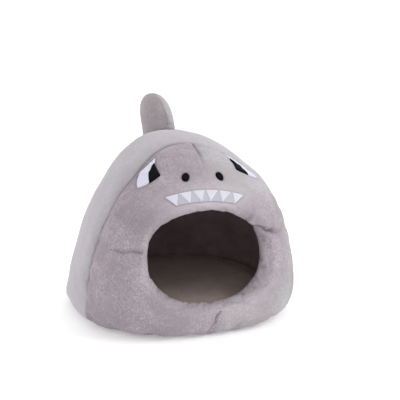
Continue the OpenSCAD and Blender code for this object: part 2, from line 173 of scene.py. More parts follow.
def turned(P, deg):
    a = math.radians(deg)
    R = np.array([[math.cos(a), -math.sin(a), 0], [math.sin(a), math.cos(a), 0], [0, 0, 1]])
    R = R @ np.array([[1, 0, 0], [0, math.cos(0.7), -math.sin(0.7)], [0, math.sin(0.7), math.cos(0.7)]])
    return P @ R.T


def pile(P, seed, wave=1.5, amp=1.0):
    """Tufts of short pile: rounded lumps with narrow gaps between them."""
    a = noise(turned(P, 31), wave, seed)
    b = noise(turned(P, -17), wave * 0.55, seed + 1)
    c = noise(turned(P, 64), wave * 2.3, seed + 2)
    return amp * (0.11 * a + 0.07 * b + 0.09 * c)


def bell(x):
    return np.exp(-x * x)


def smooth(x, a, b):
    t = np.clip((x - a) / (b - a), 0, 1)
    return t * t * (3 - 2 * t)


# ---- the dome's surface, by the same rules as the construction (mm) -------

BODY_W, BODY_D, BODY_H, SQ, Y_MID = 120.0, 120.0, 97.0, 2.25, -3.35
PROFILE = np.array([[0, 84, 8, 0.1], [2, 95.2, 6.6, 0.5], [7, 100, 5.2, 0.9], [15, 100, 1, 0.3], [24, 99, -4, 0.4], [36, 95, -9.5, 1],
                    [48, 90, -11.5, 1.1], [60, 83, -11.5, 0.9], [72, 72.3, -10, 0.8], [82, 58.7, -3, 1.4], [90, 45, 3, 2.1],
                    [96, 29.2, 7.5, 2.5], [99, 12.8, 9.5, 2.6], [100, 0, 10.5, 2.6]], float) / 100
NR = len(PROFILE) - 1
TH = np.array([0, 2, 8, 9.5])
FL = np.array([0, 2, 9, 10.5])
SX = 1 - 2 * TH / BODY_W
SY = 1 - 2 * TH / BODY_D
SZ = 1 - (FL + TH) / BODY_H
RIM_A, RIM_B, OPEN_X, OPEN_Z, RIM_BULGE, DIP = 35.0, 26.75, -1.0, 40.2, 4.5, 3.5
SEAM_Y, SEAM_BACK, SEAM_BOW, RIM_TURN = 22.0, 10.0, 6.0, 48.0


def row(t):
    x = np.clip(t, 0, 1) * NR
    i = np.minimum(np.floor(x).astype(int), NR - 1)
    f = (x - i)[..., None]
    a, b, c, d = PROFILE[np.maximum(i - 1, 0)], PROFILE[i], PROFILE[i + 1], PROFILE[np.minimum(i + 2, NR)]
    return 0.5 * (2 * b + (c - a) * f + (2 * a - 5 * b + 4 * c - d) * f * f + (3 * b - a - 3 * c + d) * f ** 3)


def spow(v, e):
    return np.sign(v) * np.abs(v) ** e


def outer(t, p):
    r = row(t)
    e = 2 / SQ
    w = np.maximum(r[..., 1], 0)
    return np.stack([BODY_W / 2 * (w * spow(np.sin(p), e) - r[..., 3]),
                     BODY_D / 2 * (r[..., 2] - w * spow(np.cos(p), e)) + Y_MID,
                     BODY_H * r[..., 0]], -1)


def dip(x, z):
    e = ((np.abs(x - OPEN_X) / RIM_A) ** 2.2 + (np.abs(z - OPEN_Z) / RIM_B) ** 2.2) ** (1 / 2.2)
    q = np.clip((e - 1) / 0.6, 0, 1)
    return DIP * (1 - q * q) ** 2


def lay(k, q):
    rr = np.minimum(np.hypot(q[..., 0], q[..., 1]), 1)
    p = np.arctan2(q[..., 1], q[..., 0])
    o = outer(1 - rr, p)
    d = np.where(o[..., 1] < -SEAM_Y + 8, dip(o[..., 0], o[..., 2]), 0)
    return np.stack([o[..., 0] * SX[k], o[..., 1] * SY[k] + d, FL[k] + o[..., 2] * SZ[k]], -1)


T_TAB = np.linspace(0, 1, 6001)
Z_TAB = BODY_H * row(T_TAB)[:, 0]


def plan_xz(x, z):
    t = np.interp(z, Z_TAB, T_TAB)
    r = row(t)
    w = np.maximum(r[..., 1] * BODY_W / 2, 0.001)
    u = x + r[..., 3] * BODY_W / 2
    p = np.arcsin(np.minimum(np.minimum(np.abs(u) / w, 1) ** (SQ / 2), 1)) * np.sign(u)
    return (1 - t)[..., None] * np.stack([np.cos(p), np.sin(p)], -1)


def seam_line(h):
    return -SEAM_Y - SEAM_BOW * np.sin(np.pi * h ** 1.8) + SEAM_BACK * h ** 6 - Y_MID


def seam_at(t):
    r = row(t)
    c = np.clip((r[..., 2] - seam_line(r[..., 0]) * 2 / BODY_D) / np.maximum(r[..., 1], 0.001), 0, 1)
    p = np.arccos(c ** (SQ / 2))
    return (1 - t)[..., None] * np.stack([np.cos(p), np.sin(p)], -1)


def peak():
    lo, hi = 0.5, 1.0
    for _ in range(40):
        m = (lo + hi) / 2
        r = row(np.array(m))
        if (r[2] - r[1]) - seam_line(r[0]) * 2 / BODY_D < 0:
            lo = m
        else:
            hi = m
    return (lo + hi) / 2


T_PEAK = peak()


def seam_pt(a):
    q = seam_at(T_PEAK * (1 - np.abs(a) ** 1.8) * 0.99999)
    return np.stack([q[..., 0], q[..., 1] * np.where(a < 0, -1, 1)], -1)


FOOT = seam_pt(np.array(1.0))
FOOT_P = math.degrees(math.atan2(FOOT[1], FOOT[0]))


def edge_q(i):
    """Edge of the face at column i from 0 to 42: the seam, then the front foot."""
    s = seam_pt(np.clip((i - 15) / 15, -1, 1))
    a = np.radians(FOOT_P * (1 - (i - 30) / 6))
    return np.where((i <= 30)[..., None], s, np.stack([np.cos(a), np.sin(a)], -1))


def rim_q(k, i):
    a = np.radians(np.where(i <= 30, 90 - (i - 15) / 15 * (90 + RIM_TURN), -RIM_TURN - (i - 30) / 12 * (180 - 2 * RIM_TURN)))
    return plan_xz((RIM_A * spow(np.cos(a), 1 / 1.1) + OPEN_X) / SX[k], (OPEN_Z + RIM_B * spow(np.sin(a), 1 / 1.1) - FL[k]) / SZ[k])


def face_q(k, i, v):
    b = (v ** 1.15)[..., None]
    return (1 - b) * rim_q(k, i) + b * edge_q(i)


def roof_q(i, v):
    """i from 0 (left foot) to 30 (right foot), v from 0 (seam) to 1 (back foot)."""
    a = np.radians(180 + (180 - FOOT_P) * (15 - i) / 15)
    b = (1 - (1 - v) ** 1.35)[..., None]
    return (1 - b) * seam_pt((i - 15) / 15) + b * np.stack([np.cos(a), np.sin(a)], -1)


def unit(v):
    return v / np.maximum(np.linalg.norm(v, axis=-1, keepdims=True), 1e-9)


HOLE = (lay(0, plan_xz(np.array(OPEN_X), np.array(OPEN_Z))) + lay(3, plan_xz(np.array(OPEN_X), np.array((OPEN_Z - FL[3]) / SZ[3])))) / 2


def roll(ka, kb, grow, i, s):
    """Points and normals round the rolled rim; s is 0 outside and 180 inside."""
    a, b = lay(ka, rim_q(ka, i)), lay(kb, rim_q(kb, i))
    c, v = (a + b) / 2, (a - b) / 2
    h = HOLE - c
    d = unit(h - (h * v).sum(-1, keepdims=True) / (v * v).sum(-1, keepdims=True) * v)
    cs, sn = np.cos(np.radians(s))[..., None], np.sin(np.radians(s))[..., None]
    lv = np.linalg.norm(v, axis=-1, keepdims=True)
    return c + v * cs + d * grow * sn, unit(v / lv * cs / lv + d * sn / grow)


def lay_normal(k, q):
    e = 2e-3
    r = np.hypot(q[..., 0], q[..., 1])[..., None]
    q = q * np.minimum(1, (1 - 2 * e) / np.maximum(r, 1e-6))
    dx, dy = np.array([e, 0]), np.array([0, e])
    n = np.cross(lay(k, q + dx) - lay(k, q - dx), lay(k, q + dy) - lay(k, q - dy))
    n = unit(n)
    mid = np.array([0, Y_MID, 25.0])
    flip = np.sign(((lay(k, q) - mid) * n).sum(-1, keepdims=True))
    return n * flip


def face_grid(k, nc, nroll, nface, kin=3, grow=RIM_BULGE):
    """Rows from the inner end of the roll to the edge, columns round the rim. Returns points, normals, row coordinate."""
    i = np.arange(nc) * 42.0 / nc
    P, N, V = [], [], []
    for m in range(nroll):
        s = np.full(nc, 180.0 * (1 - m / nroll))
        p, n = roll(k, kin, grow, i, s)
        P.append(p); N.append(n); V.append(m / nroll)
    for j in range(nface + 1):
        v = np.full(nc, j / nface)
        q = face_q(k, i, v)
        P.append(lay(k, q)); N.append(lay_normal(k, q)); V.append(1 + j / nface)
    N = np.array(N)
    for _ in range(3):  # one smooth turn from the roll into the face
        M = N.copy()
        lo, hi = nroll - 3, nroll + 4
        M[lo:hi] = (N[lo - 1:hi - 1] + N[lo:hi] * 2 + N[lo + 1:hi + 1]) / 4
        N = unit(M)
    return np.array(P), N, np.array(V)


def roof_grid(k, nc, nb):
    i = np.arange(nc + 1) * 30.0 / nc
    P, N = [], []
    for j in range(nb + 1):
        q = roof_q(i, np.full(nc + 1, j / nb))
        P.append(lay(k, q)); N.append(lay_normal(k, q))
    return np.array(P), np.array(N), np.arange(nb + 1) / nb


# ---- distances to seams, darts and stitched parts -------------------------

SEAM_A = np.linspace(-1, 1, 801)
SEAM3 = lay(0, seam_pt(SEAM_A))
SEAM_S = np.concatenate([[0], np.cumsum(np.linalg.norm(np.diff(SEAM3, axis=0), axis=1))])


def near_line(P, L, step=4000):
    """Distance of every point to the line L and the index of its nearest point."""
    X = P.reshape(-1, 3)
    D, I = np.empty(len(X)), np.empty(len(X), int)
    for a in range(0, len(X), step):
        d = ((X[a:a + step, None, :] - L[None]) ** 2).sum(-1)
        i = d.argmin(1)
        I[a:a + step] = i
        D[a:a + step] = np.sqrt(d[np.arange(len(i)), i])
    return D.reshape(P.shape[:-1]), I.reshape(P.shape[:-1])


# darts of the face in front view: ends (x, z), depth, width, swelling on either side, its reach, and if it runs over the rim
DARTS = [((-44.9, 45.5), (-31.8, 46.8), 0.75, 0.75, 0.45, 0.25, 3.6, False),
         ((22.2, 55.5), (38.5, 49.4), 2.0, 0.8, 1.7, -0.9, 5.0, True),
         ((3.1, 94.4), (2.4, 85.2), 1.0, 0.65, 0.15, 0.35, 3.2, False),
         ((2.4, 13.0), (-3.6, -1.0), 1.3, 0.7, 0.1, 0.5, 4.0, True)]


def darts(x, z, face=1.0, rim=1.0):
    """Sharp crease and soft swelling of the darts, both in mm."""
    crease, puff = 0, 0
    for (x0, z0), (x1, z1), depth, width, up, down, reach, over_rim in DARTS:
        dx, dz = x1 - x0, z1 - z0
        L = math.hypot(dx, dz)
        w = ((x - x0) * dx + (z - z0) * dz) / L
        s = (-(x - x0) * dz + (z - z0) * dx) / L  # above a dart that runs to the right
        s = s + 0.35 * np.sin(w * 0.9)
        over = np.maximum(np.maximum(-w, w - L), 0)
        fade = bell(over / 1.6) * smooth(w, L + 1, L - 5)
        fade = np.maximum(fade, bell(over / 1.6) * 0.35) * (rim if over_rim else face)
        crease = crease - depth * fade * bell(s / width)
        side = np.where(s > 0, up, down)
        puff = puff + side * fade * bell(np.maximum(np.abs(s) - 1.5, 0) / reach) * smooth(np.abs(s), 0, 1.4)
    return crease, puff


EYE = [(19.3, 87.8), (22.8, 85.6), (26.6, 83.1), (29.2, 80.9), (31.1, 78.5), (32.2, 76.3), (32.6, 74.6),
       (29.4, 75.95), (26.7, 77.3), (21, 80.7), (21.35, 83.5), (20.4, 86.2)]
PUPIL = [(20.95, 85.4), (22.4, 84.4), (24, 82.8), (25.5, 81), (26.4, 79.1), (26.75, 77.1), (20.55, 80.6), (21.05, 82.2), (21.2, 83.9)]
EYE_MID, PUPIL_MID = (25.5, 80.8), (23, 81.3)
NOSE_Z, TURN = 79.5, math.radians(2.2)
TEETH_HALF, TEETH_Z, TEETH_ARC, TOOTH_H, TEETH_X = 20.6, 74.0, 3.4, 5.2, -1.0
TIPS = [0.75, 0.7, 0.58, 0.2, 0.1, 0.08]


def turn(x, z):
    """Front position turned with the nostrils and the teeth about their middle."""
    m = (NOSE_Z + TEETH_Z) / 2
    return x * math.cos(TURN) + (z - m) * math.sin(TURN), m + (z - m) * math.cos(TURN) - x * math.sin(TURN)


def gum(x):
    return TEETH_Z - TEETH_ARC * (x / TEETH_HALF) ** 2


def tip_x(i):
    return TEETH_HALF * ((i + TIPS[i]) / 3 - 1)


def curved(L, k, closed=True):
    """Catmull-Rom through the corners of an outline, k points an edge, with its sharp corners kept by turning angle."""
    L = [np.array(p, float) for p in L]
    n = len(L)
    sharp = []
    for i in range(n):
        a, b, c = L[i - 1], L[i], L[(i + 1) % n]
        u, v = b - a, c - b
        cosang = (u @ v) / (np.linalg.norm(u) * np.linalg.norm(v))
        sharp.append(cosang < 0.72)
    out = []
    for i in range(n):
        p1, p2 = L[i], L[(i + 1) % n]
        p0 = p1 + (p1 - p2) * 0.5 if sharp[i] else L[i - 1]
        p3 = p2 + (p2 - p1) * 0.5 if sharp[(i + 1) % n] else L[(i + 2) % n]
        for j in range(k):
            f = j / k
            out.append(0.5 * (2 * p1 + (p2 - p0) * f + (2 * p0 - 5 * p1 + 4 * p2 - p3) * f * f + (3 * p1 - p0 - 3 * p2 + p3) * f ** 3))
    return np.array(out)


def mirrored(L):
    return [(-x, z) for x, z in reversed(L)]


def nostril(s):
    a = np.radians(np.arange(24) * -15.0)
    u, v = 1.9 * np.cos(a), 1.692 * np.sin(a)
    return [turn(s * 9 + u[i] - s * 0.28 * v[i], NOSE_Z + v[i]) for i in range(24)]


def tooth_line(i):
    x0, x1 = TEETH_HALF * (i / 3 - 1) + 0.15, TEETH_HALF * ((i + 1) / 3 - 1) - 0.15
    xt = tip_x(i)
    up = [(x, gum(x)) for x in np.linspace(x1, x0, 5)]
    tip = (xt, gum(xt) - TOOTH_H)
    L = up + [((up[4][0] * 2 + tip[0]) / 3, (up[4][1] * 2 + tip[1]) / 3), ((up[4][0] + tip[0] * 2) / 3, (up[4][1] + tip[1] * 2) / 3), tip,
              ((up[0][0] + tip[0] * 2) / 3, (up[0][1] + tip[1] * 2) / 3), ((up[0][0] * 2 + tip[0]) / 3, (up[0][1] * 2 + tip[1]) / 3)]
    c = turn((up[0][0] + up[4][0] + tip[0]) / 3 + TEETH_X, (up[0][1] + up[4][1] + tip[1]) / 3)
    return [turn(x + TEETH_X, z) for x, z in L], c


def band_line():
    x0, x1 = tip_x(0), tip_x(5)
    up = [turn(x + TEETH_X, gum(x)) for x in np.linspace(TEETH_HALF, -TEETH_HALF, 25)]
    dn = [turn(x + TEETH_X, gum(x) - TOOTH_H + 0.25) for x in np.linspace(x0, x1, 17)]
    return up + dn


def from_outline(x, z, L):
    """Signed distance in the front view: negative inside the outline."""
    L = np.array(L, float)
    d = np.full(x.shape, 1e9)
    inside = np.zeros(x.shape, bool)
    for a, b in zip(L, np.roll(L, -1, 0)):
        e = b - a
        t = np.clip(((x - a[0]) * e[0] + (z - a[1]) * e[1]) / (e @ e + 1e-12), 0, 1)
        d = np.minimum(d, np.hypot(x - a[0] - t * e[0], z - a[1] - t * e[1]))
        cross = (a[1] > z) != (b[1] > z)
        with np.errstate(divide="ignore", invalid="ignore"):
            xi = a[0] + (z - a[1]) / (e[1] if abs(e[1]) > 1e-12 else 1e-12) * e[0]
        inside ^= cross & (x < xi)
    return np.where(inside, -d, d)


STITCHED = [EYE, mirrored(EYE), nostril(1), nostril(-1), band_line()] + [tooth_line(i)[0] for i in range(6)]


def stitched_near(x, z):
    d = np.full(x.shape, 1e9)
    for L in STITCHED:
        d = np.minimum(d, from_outline(x, z, L))
    return d


# ---- meshes and simulation -------------------------------------------------


def grid_ids(ni, nj, pole0=False, pole1=False, c0=False, c1=False):
    """Vertex numbers of a grid whose first or last rows or columns may be single points."""
    ids = np.arange(ni * nj).reshape(ni, nj)
    if c0:
        ids[:, 0] = ids[0, 0]
    if c1:
        ids[:, -1] = ids[0, -1]
    if pole0:
        ids[0, :] = ids[0, 0]
    if pole1:
        ids[-1, :] = ids[-1, 0]
    return ids


def grid_faces(ids, wrap):
    if wrap:
        ids = np.concatenate([ids, ids[:, :1]], 1)
    return np.stack([ids[:-1, :-1], ids[:-1, 1:], ids[1:, 1:], ids[1:, :-1]], -1).reshape(-1, 4)


def tidy(points, quads):
    """Drops repeated corners and unused points."""
    same = (quads == np.roll(quads, 1, 1)).sum(1)
    good = quads[same == 0]
    crossed = (good[:, 0] == good[:, 2]) | (good[:, 1] == good[:, 3])
    good = good[~crossed]
    tri = []
    for f in quads[same == 1].tolist():
        g = [v for k, v in enumerate(f) if v != f[k - 1]]
        if len(g) == 3 and len(set(g)) == 3:
            tri.append(g)
    tri = np.array(tri, int).reshape(-1, 3)
    used = np.unique(np.concatenate([good.ravel(), tri.ravel()]))
    new = np.full(len(points), -1)
    new[used] = np.arange(len(used))
    return points[used], new[good].tolist() + new[tri].tolist(), used


def build(name, points, faces, tone=None, grey=None):
    me = bpy.data.meshes.new(name)
    me.from_pydata((points * 0.001).tolist(), [], faces)
    me.update()
    me.polygons.foreach_set("use_smooth", np.ones(len(me.polygons), bool))
    for key, val in (("tone", tone), ("grey", grey)):
        if val is not None:
            a = me.attributes.new(key, "FLOAT", "POINT")
            a.data.foreach_set("value", np.asarray(val, np.float32).ravel())
    o = bpy.data.objects.new(name, me)
    scene.collection.objects.link(o)
    return o


def shell(name, A, B, wrap=False, c0=False, c1=False, pole0=False, pole1=False, tone=None, grey=None, flip=False):
    """Closed solid between the grids A outside and B inside."""
    ni, nj = A.shape[:2]
    n = ni * nj
    ids = grid_ids(ni, nj, pole0, pole1, c0, c1)
    top = grid_faces(ids, wrap)
    low = top[:, ::-1] + n
    parts = [top, low]
    w = np.concatenate([ids, ids[:, :1]], 1) if wrap else ids
    if not pole0:
        a, b = w[0, :-1], w[0, 1:]
        parts.append(np.stack([b, a, a + n, b + n], -1))
    if not pole1:
        a, b = w[-1, :-1], w[-1, 1:]
        parts.append(np.stack([a, b, b + n, a + n], -1))
    if not wrap:
        if not c0:
            a, b = ids[:-1, 0], ids[1:, 0]
            parts.append(np.stack([a, b, b + n, a + n], -1))
        if not c1:
            a, b = ids[:-1, -1], ids[1:, -1]
            parts.append(np.stack([b, a, a + n, b + n], -1))
    quads = np.concatenate(parts)
    if flip:
        quads = quads[:, ::-1]
    P = np.concatenate([A.reshape(-1, 3), B.reshape(-1, 3)])
    P[:, 2] = np.maximum(P[:, 2], 0.02)
    P, faces, used = tidy(P, quads)
    t, g = [None if v is None else np.concatenate([v.ravel(), v.ravel()])[used] for v in (tone, grey)]
    return build(name, P, faces, t, g)


def upright(o):
    """Turns the faces outwards if the closed mesh's volume is negative."""
    me = o.data
    n = len(me.vertices)
    co = np.empty(n * 3)
    me.vertices.foreach_get("co", co)
    co = co.reshape(-1, 3)
    me.calc_loop_triangles()
    t = np.empty(len(me.loop_triangles) * 3, np.int32)
    me.loop_triangles.foreach_get("vertices", t)
    t = t.reshape(-1, 3)
    v = (np.cross(co[t[:, 0]], co[t[:, 1]]) * co[t[:, 2]]).sum() / 6
    if v < 0:
        me.flip_normals()
    return abs(v)


def puff(name, P, wrap, pin, pressure=4.0, grow=0.03, cap=1.5, frames=20, bend=0.6, soft=0.0):
    """Cloth simulation of a grid of points in mm that is held at pin. Returns how far every point moves."""
    ni, nj = P.shape[:2]
    me = bpy.data.meshes.new(name)
    me.from_pydata((P.reshape(-1, 3) * 0.01).tolist(), [], grid_faces(np.arange(ni * nj).reshape(ni, nj), wrap).tolist())
    o = bpy.data.objects.new(name, me)
    scene.collection.objects.link(o)
    g = o.vertex_groups.new(name="pin")
    w = pin.ravel()
    for level in np.unique(w):
        if level > 0:
            g.add(np.nonzero(w == level)[0].tolist(), float(level), "REPLACE")
    mod = o.modifiers.new("Cloth", "CLOTH")
    s = mod.settings
    s.quality = 6
    s.mass = 0.3
    s.air_damping = 2.0
    s.tension_stiffness = 12
    s.compression_stiffness = 12
    s.shear_stiffness = 5
    s.bending_stiffness = bend
    s.tension_damping = s.compression_damping = s.shear_damping = 10
    s.use_pressure = True
    s.uniform_pressure_force = pressure
    s.vertex_group_mass = "pin"
    s.shrink_min = s.shrink_max = -grow
    s.effector_weights.gravity = 0
    mod.collision_settings.use_collision = False
    mod.point_cache.frame_start, mod.point_cache.frame_end = 1, frames
    for f in range(1, frames + 1):
        scene.frame_set(f)
    e = o.evaluated_get(bpy.context.evaluated_depsgraph_get())
    m = e.to_mesh()
    co = np.empty(len(m.vertices) * 3)
    m.vertices.foreach_get("co", co)
    e.to_mesh_clear()
    bpy.data.objects.remove(o)
    bpy.data.meshes.remove(me)
    scene.frame_set(1)
    d = co.reshape(ni, nj, 3) * 100 - P
    d[~np.isfinite(d)] = 0
    r = np.linalg.norm(d, axis=-1, keepdims=True)
    d = d * cap * np.tanh(r / cap) / np.maximum(r, 1e-6)
    print("SIM", name, "moved mean %.2f max %.2f mm, raw max %.2f" % (np.linalg.norm(d, axis=-1).mean(), np.linalg.norm(d, axis=-1).max(), r.max()))
    return d


def cubic(G, x, wrap):
    """Rows of G at fractional row numbers x, by Catmull-Rom."""
    n = len(G)
    i = np.floor(x).astype(int)
    if not wrap:
        i = np.minimum(i, n - 2)
    f = (x - i).reshape((-1,) + (1,) * (G.ndim - 1))
    pick = (lambda k: G[k % n]) if wrap else (lambda k: G[np.clip(k, 0, n - 1)])
    a, b, c, d = pick(i - 1), pick(i), pick(i + 1), pick(i + 2)
    return 0.5 * (2 * b + (c - a) * f + (2 * a - 5 * b + 4 * c - d) * f * f + (3 * b - a - 3 * c + d) * f ** 3)


def to_dense(d, v_coarse, v_dense, nc, wrap):
    """Movement of a coarse grid, read at the rows v_dense and nc columns."""
    r = np.interp(v_dense, v_coarse, np.arange(len(v_coarse)))
    d = cubic(d, r, False)
    n = d.shape[1]
    x = np.arange(nc) * n / nc if wrap else np.linspace(0, n - 1, nc)
    return cubic(d.transpose(1, 0, 2), x, wrap).transpose(1, 0, 2)


# ---- materials --------------------------------------------------------------


def plush(name, base, deep, tip, grain=1.0, sheen=0.55, bump=0.55, speck=1.0):
    """Short pile: base colour with brushed patches, darker gaps and lighter tips."""
    m, nt, b = new_material(name)
    N, L = nt.nodes, nt.links
    co = N.new("ShaderNodeTexCoord")

    def tex(scale, detail, rough=0.6, stretch=None):
        n = N.new("ShaderNodeTexNoise")
        n.inputs["Scale"].default_value = scale
        n.inputs["Detail"].default_value = detail
        n.inputs["Roughness"].default_value = rough
        if stretch:
            mp = N.new("ShaderNodeMapping")
            mp.inputs["Scale"].default_value = stretch
            L.new(co.outputs["Object"], mp.inputs["Vector"])
            L.new(mp.outputs["Vector"], n.inputs["Vector"])
        else:
            L.new(co.outputs["Object"], n.inputs["Vector"])
        return n

    def spread(src, lo, hi):
        r = N.new("ShaderNodeMapRange")
        r.inputs["From Min"].default_value = lo
        r.inputs["From Max"].default_value = hi
        L.new(src, r.inputs["Value"])
        return r.outputs["Result"]

    def mix(fac, a, c, blend="MIX"):
        x = N.new("ShaderNodeMix")
        x.data_type = "RGBA"
        x.blend_type = blend
        if isinstance(fac, float):
            x.inputs[0].default_value = fac
        else:
            L.new(fac, x.inputs[0])
        for sock, val in ((x.inputs[6], a), (x.inputs[7], c)):
            if isinstance(val, tuple):
                sock.default_value = (*val, 1)
            else:
                L.new(val, sock)
        return x.outputs[2]

    fine = tex(1150 * grain, 3.0, 0.8)
    clump = tex(520 * grain, 2.0, 0.6, (1, 1, 0.7))
    patch = tex(62, 2.5, 0.55)
    cloud = tex(135, 2.0, 0.5)
    tone = N.new("ShaderNodeAttribute")
    tone.attribute_name = "tone"

    def times(p, q, k=1.0):
        x = N.new("ShaderNodeMath")
        x.operation = "MULTIPLY"
        L.new(p, x.inputs[0])
        x.inputs[1].default_value = k
        if q is not None:
            y = N.new("ShaderNodeMath")
            y.operation = "MULTIPLY"
            L.new(x.outputs[0], y.inputs[0])
            L.new(q, y.inputs[1])
            x = y
        return x.outputs[0]

    brushed = spread(patch.outputs["Fac"], 0.40, 0.62)
    c1 = mix(brushed, deep, base)
    c2 = mix(times(spread(cloud.outputs["Fac"], 0.60, 0.35), None, 0.6), c1, deep)
    loose = N.new("ShaderNodeMapRange")
    loose.inputs["To Min"].default_value = 0.3
    loose.inputs["To Max"].default_value = 1.0
    L.new(brushed, loose.inputs["Value"])
    c3 = mix(times(spread(fine.outputs["Fac"], 0.52, 0.66), loose.outputs["Result"], speck), c2, tip)
    c3 = mix(times(spread(clump.outputs["Fac"], 0.55, 0.80), None, 0.35), c3, tip)
    c4 = mix(times(spread(fine.outputs["Fac"], 0.46, 0.32), loose.outputs["Result"], speck), c3, tuple(x * 0.70 for x in deep))
    # tone: 0.5 leaves the colour, below is darker, above is paler; the darker side carries painted shade and the paler
    # side painted light, besides tone that differs at random
    dark = mix(spread(tone.outputs["Fac"], 0.5, 0.0), c4, tuple(x * 0.28 for x in deep))
    pale = mix(spread(tone.outputs["Fac"], 0.5, 1.0), dark, tip)
    # greying by the grey attribute: partly the pile's direction, partly painted light from the right
    nap_and_light_grey = N.new("ShaderNodeAttribute")
    nap_and_light_grey.attribute_name = "grey"
    hs = N.new("ShaderNodeHueSaturation")
    hs.inputs["Saturation"].default_value = 0.30
    hs.inputs["Value"].default_value = 1.0
    L.new(nap_and_light_grey.outputs["Fac"], hs.inputs["Fac"])
    L.new(pale, hs.inputs["Color"])
    L.new(hs.outputs["Color"], b.inputs["Base Color"])
    b.inputs["Roughness"].default_value = 0.92
    b.inputs["Specular IOR Level"].default_value = 0.12
    b.inputs["Sheen Weight"].default_value = sheen
    b.inputs["Sheen Roughness"].default_value = 0.42
    b.inputs["Sheen Tint"].default_value = (*[min(1, x * 1.35 + 0.15) for x in tip], 1)
    bp1 = N.new("ShaderNodeBump")
    bp1.inputs["Strength"].default_value = bump
    bp1.inputs["Distance"].default_value = 0.0004
    L.new(clump.outputs["Fac"], bp1.inputs["Height"])
    bp2 = N.new("ShaderNodeBump")
    bp2.inputs["Strength"].default_value = bump
    bp2.inputs["Distance"].default_value = 0.00028
    L.new(fine.outputs["Fac"], bp2.inputs["Height"])
    L.new(bp1.outputs["Normal"], bp2.inputs["Normal"])
    L.new(bp2.outputs["Normal"], b.inputs["Normal"])
    return m


def thread(name, base, shade, angle=0.0, rough=0.45, sheen=0.25):
    """Satin stitch: fine parallel threads with a soft shine."""
    m, nt, b = new_material(name)
    N, L = nt.nodes, nt.links
    co = N.new("ShaderNodeTexCoord")
    mp = N.new("ShaderNodeMapping")
    mp.inputs["Rotation"].default_value = (0, angle, 0)
    L.new(co.outputs["Object"], mp.inputs["Vector"])
    w = N.new("ShaderNodeTexWave")
    w.wave_type = "BANDS"
    w.bands_direction = "Z"
    w.inputs["Scale"].default_value = 900.0
    w.inputs["Distortion"].default_value = 1.2
    w.inputs["Detail"].default_value = 1.0
    w.inputs["Detail Scale"].default_value = 2.0
    L.new(mp.outputs["Vector"], w.inputs["Vector"])
    n = N.new("ShaderNodeTexNoise")
    n.inputs["Scale"].default_value = 500.0
    L.new(mp.outputs["Vector"], n.inputs["Vector"])
    x = N.new("ShaderNodeMix")
    x.data_type = "RGBA"
    x.inputs[6].default_value = (*shade, 1)
    x.inputs[7].default_value = (*base, 1)
    L.new(w.outputs["Fac"], x.inputs[0])
    y = N.new("ShaderNodeMix")
    y.data_type = "RGBA"
    y.blend_type = "MIX"
    L.new(n.outputs["Fac"], y.inputs[0])
    L.new(x.outputs[2], y.inputs[6])
    y.inputs[7].default_value = (*base, 1)
    L.new(y.outputs[2], b.inputs["Base Color"])
    b.inputs["Roughness"].default_value = rough
    b.inputs["Sheen Weight"].default_value = sheen
    b.inputs["Sheen Roughness"].default_value = 0.4
    bp = N.new("ShaderNodeBump")
    bp.inputs["Strength"].default_value = 0.5
    bp.inputs["Distance"].default_value = 0.00012
    L.new(w.outputs["Fac"], bp.inputs["Height"])
    L.new(bp.outputs["Normal"], b.inputs["Normal"])
    return m


def cloth(name, base, shade, count=1400.0):
    """Plain woven cloth."""
    m, nt, b = new_material(name)
    N, L = nt.nodes, nt.links
    co = N.new("ShaderNodeTexCoord")
    waves = []
    for axis in ("X", "Y"):
        w = N.new("ShaderNodeTexWave")
        w.wave_type = "BANDS"
        w.bands_direction = axis
        w.inputs["Scale"].default_value = count
        w.inputs["Distortion"].default_value = 0.6
        L.new(co.outputs["Object"], w.inputs["Vector"])
        waves.append(w)
    h = N.new("ShaderNodeMath")
    h.operation = "MAXIMUM"
    L.new(waves[0].outputs["Fac"], h.inputs[0])
    L.new(waves[1].outputs["Fac"], h.inputs[1])
    n = N.new("ShaderNodeTexNoise")
    n.inputs["Scale"].default_value = 90.0
    n.inputs["Detail"].default_value = 4.0
    L.new(co.outputs["Object"], n.inputs["Vector"])
    x = N.new("ShaderNodeMix")
    x.data_type = "RGBA"
    x.inputs[6].default_value = (*shade, 1)
    x.inputs[7].default_value = (*base, 1)
    L.new(h.outputs[0], x.inputs[0])
    y = N.new("ShaderNodeMix")
    y.data_type = "RGBA"
    y.blend_type = "MULTIPLY"
    y.inputs[0].default_value = 0.35
    L.new(x.outputs[2], y.inputs[6])
    L.new(n.outputs["Fac"], y.inputs[7])
    L.new(y.outputs[2], b.inputs["Base Color"])
    b.inputs["Roughness"].default_value = 0.88
    b.inputs["Sheen Weight"].default_value = 0.2
    bp = N.new("ShaderNodeBump")
    bp.inputs["Strength"].default_value = 0.4
    bp.inputs["Distance"].default_value = 0.0002
    L.new(h.outputs[0], bp.inputs["Height"])
    L.new(bp.outputs["Normal"], b.inputs["Normal"])
    return m


def fibre(name, base, shade):
    """Loose fibre filling or foam."""
    m, nt, b = new_material(name)
    N, L = nt.nodes, nt.links
    co = N.new("ShaderNodeTexCoord")
    n = N.new("ShaderNodeTexNoise")
    n.inputs["Scale"].default_value = 300.0
    n.inputs["Detail"].default_value = 6.0
    n.inputs["Distortion"].default_value = 2.0
    L.new(co.outputs["Object"], n.inputs["Vector"])
    x = N.new("ShaderNodeMix")
    x.data_type = "RGBA"
    x.inputs[6].default_value = (*shade, 1)
    x.inputs[7].default_value = (*base, 1)
    L.new(n.outputs["Fac"], x.inputs[0])
    L.new(x.outputs[2], b.inputs["Base Color"])
    b.inputs["Roughness"].default_value = 0.95
    bp = N.new("ShaderNodeBump")
    bp.inputs["Strength"].default_value = 0.6
    bp.inputs["Distance"].default_value = 0.0006
    L.new(n.outputs["Fac"], bp.inputs["Height"])
    L.new(bp.outputs["Normal"], b.inputs["Normal"])
    return m


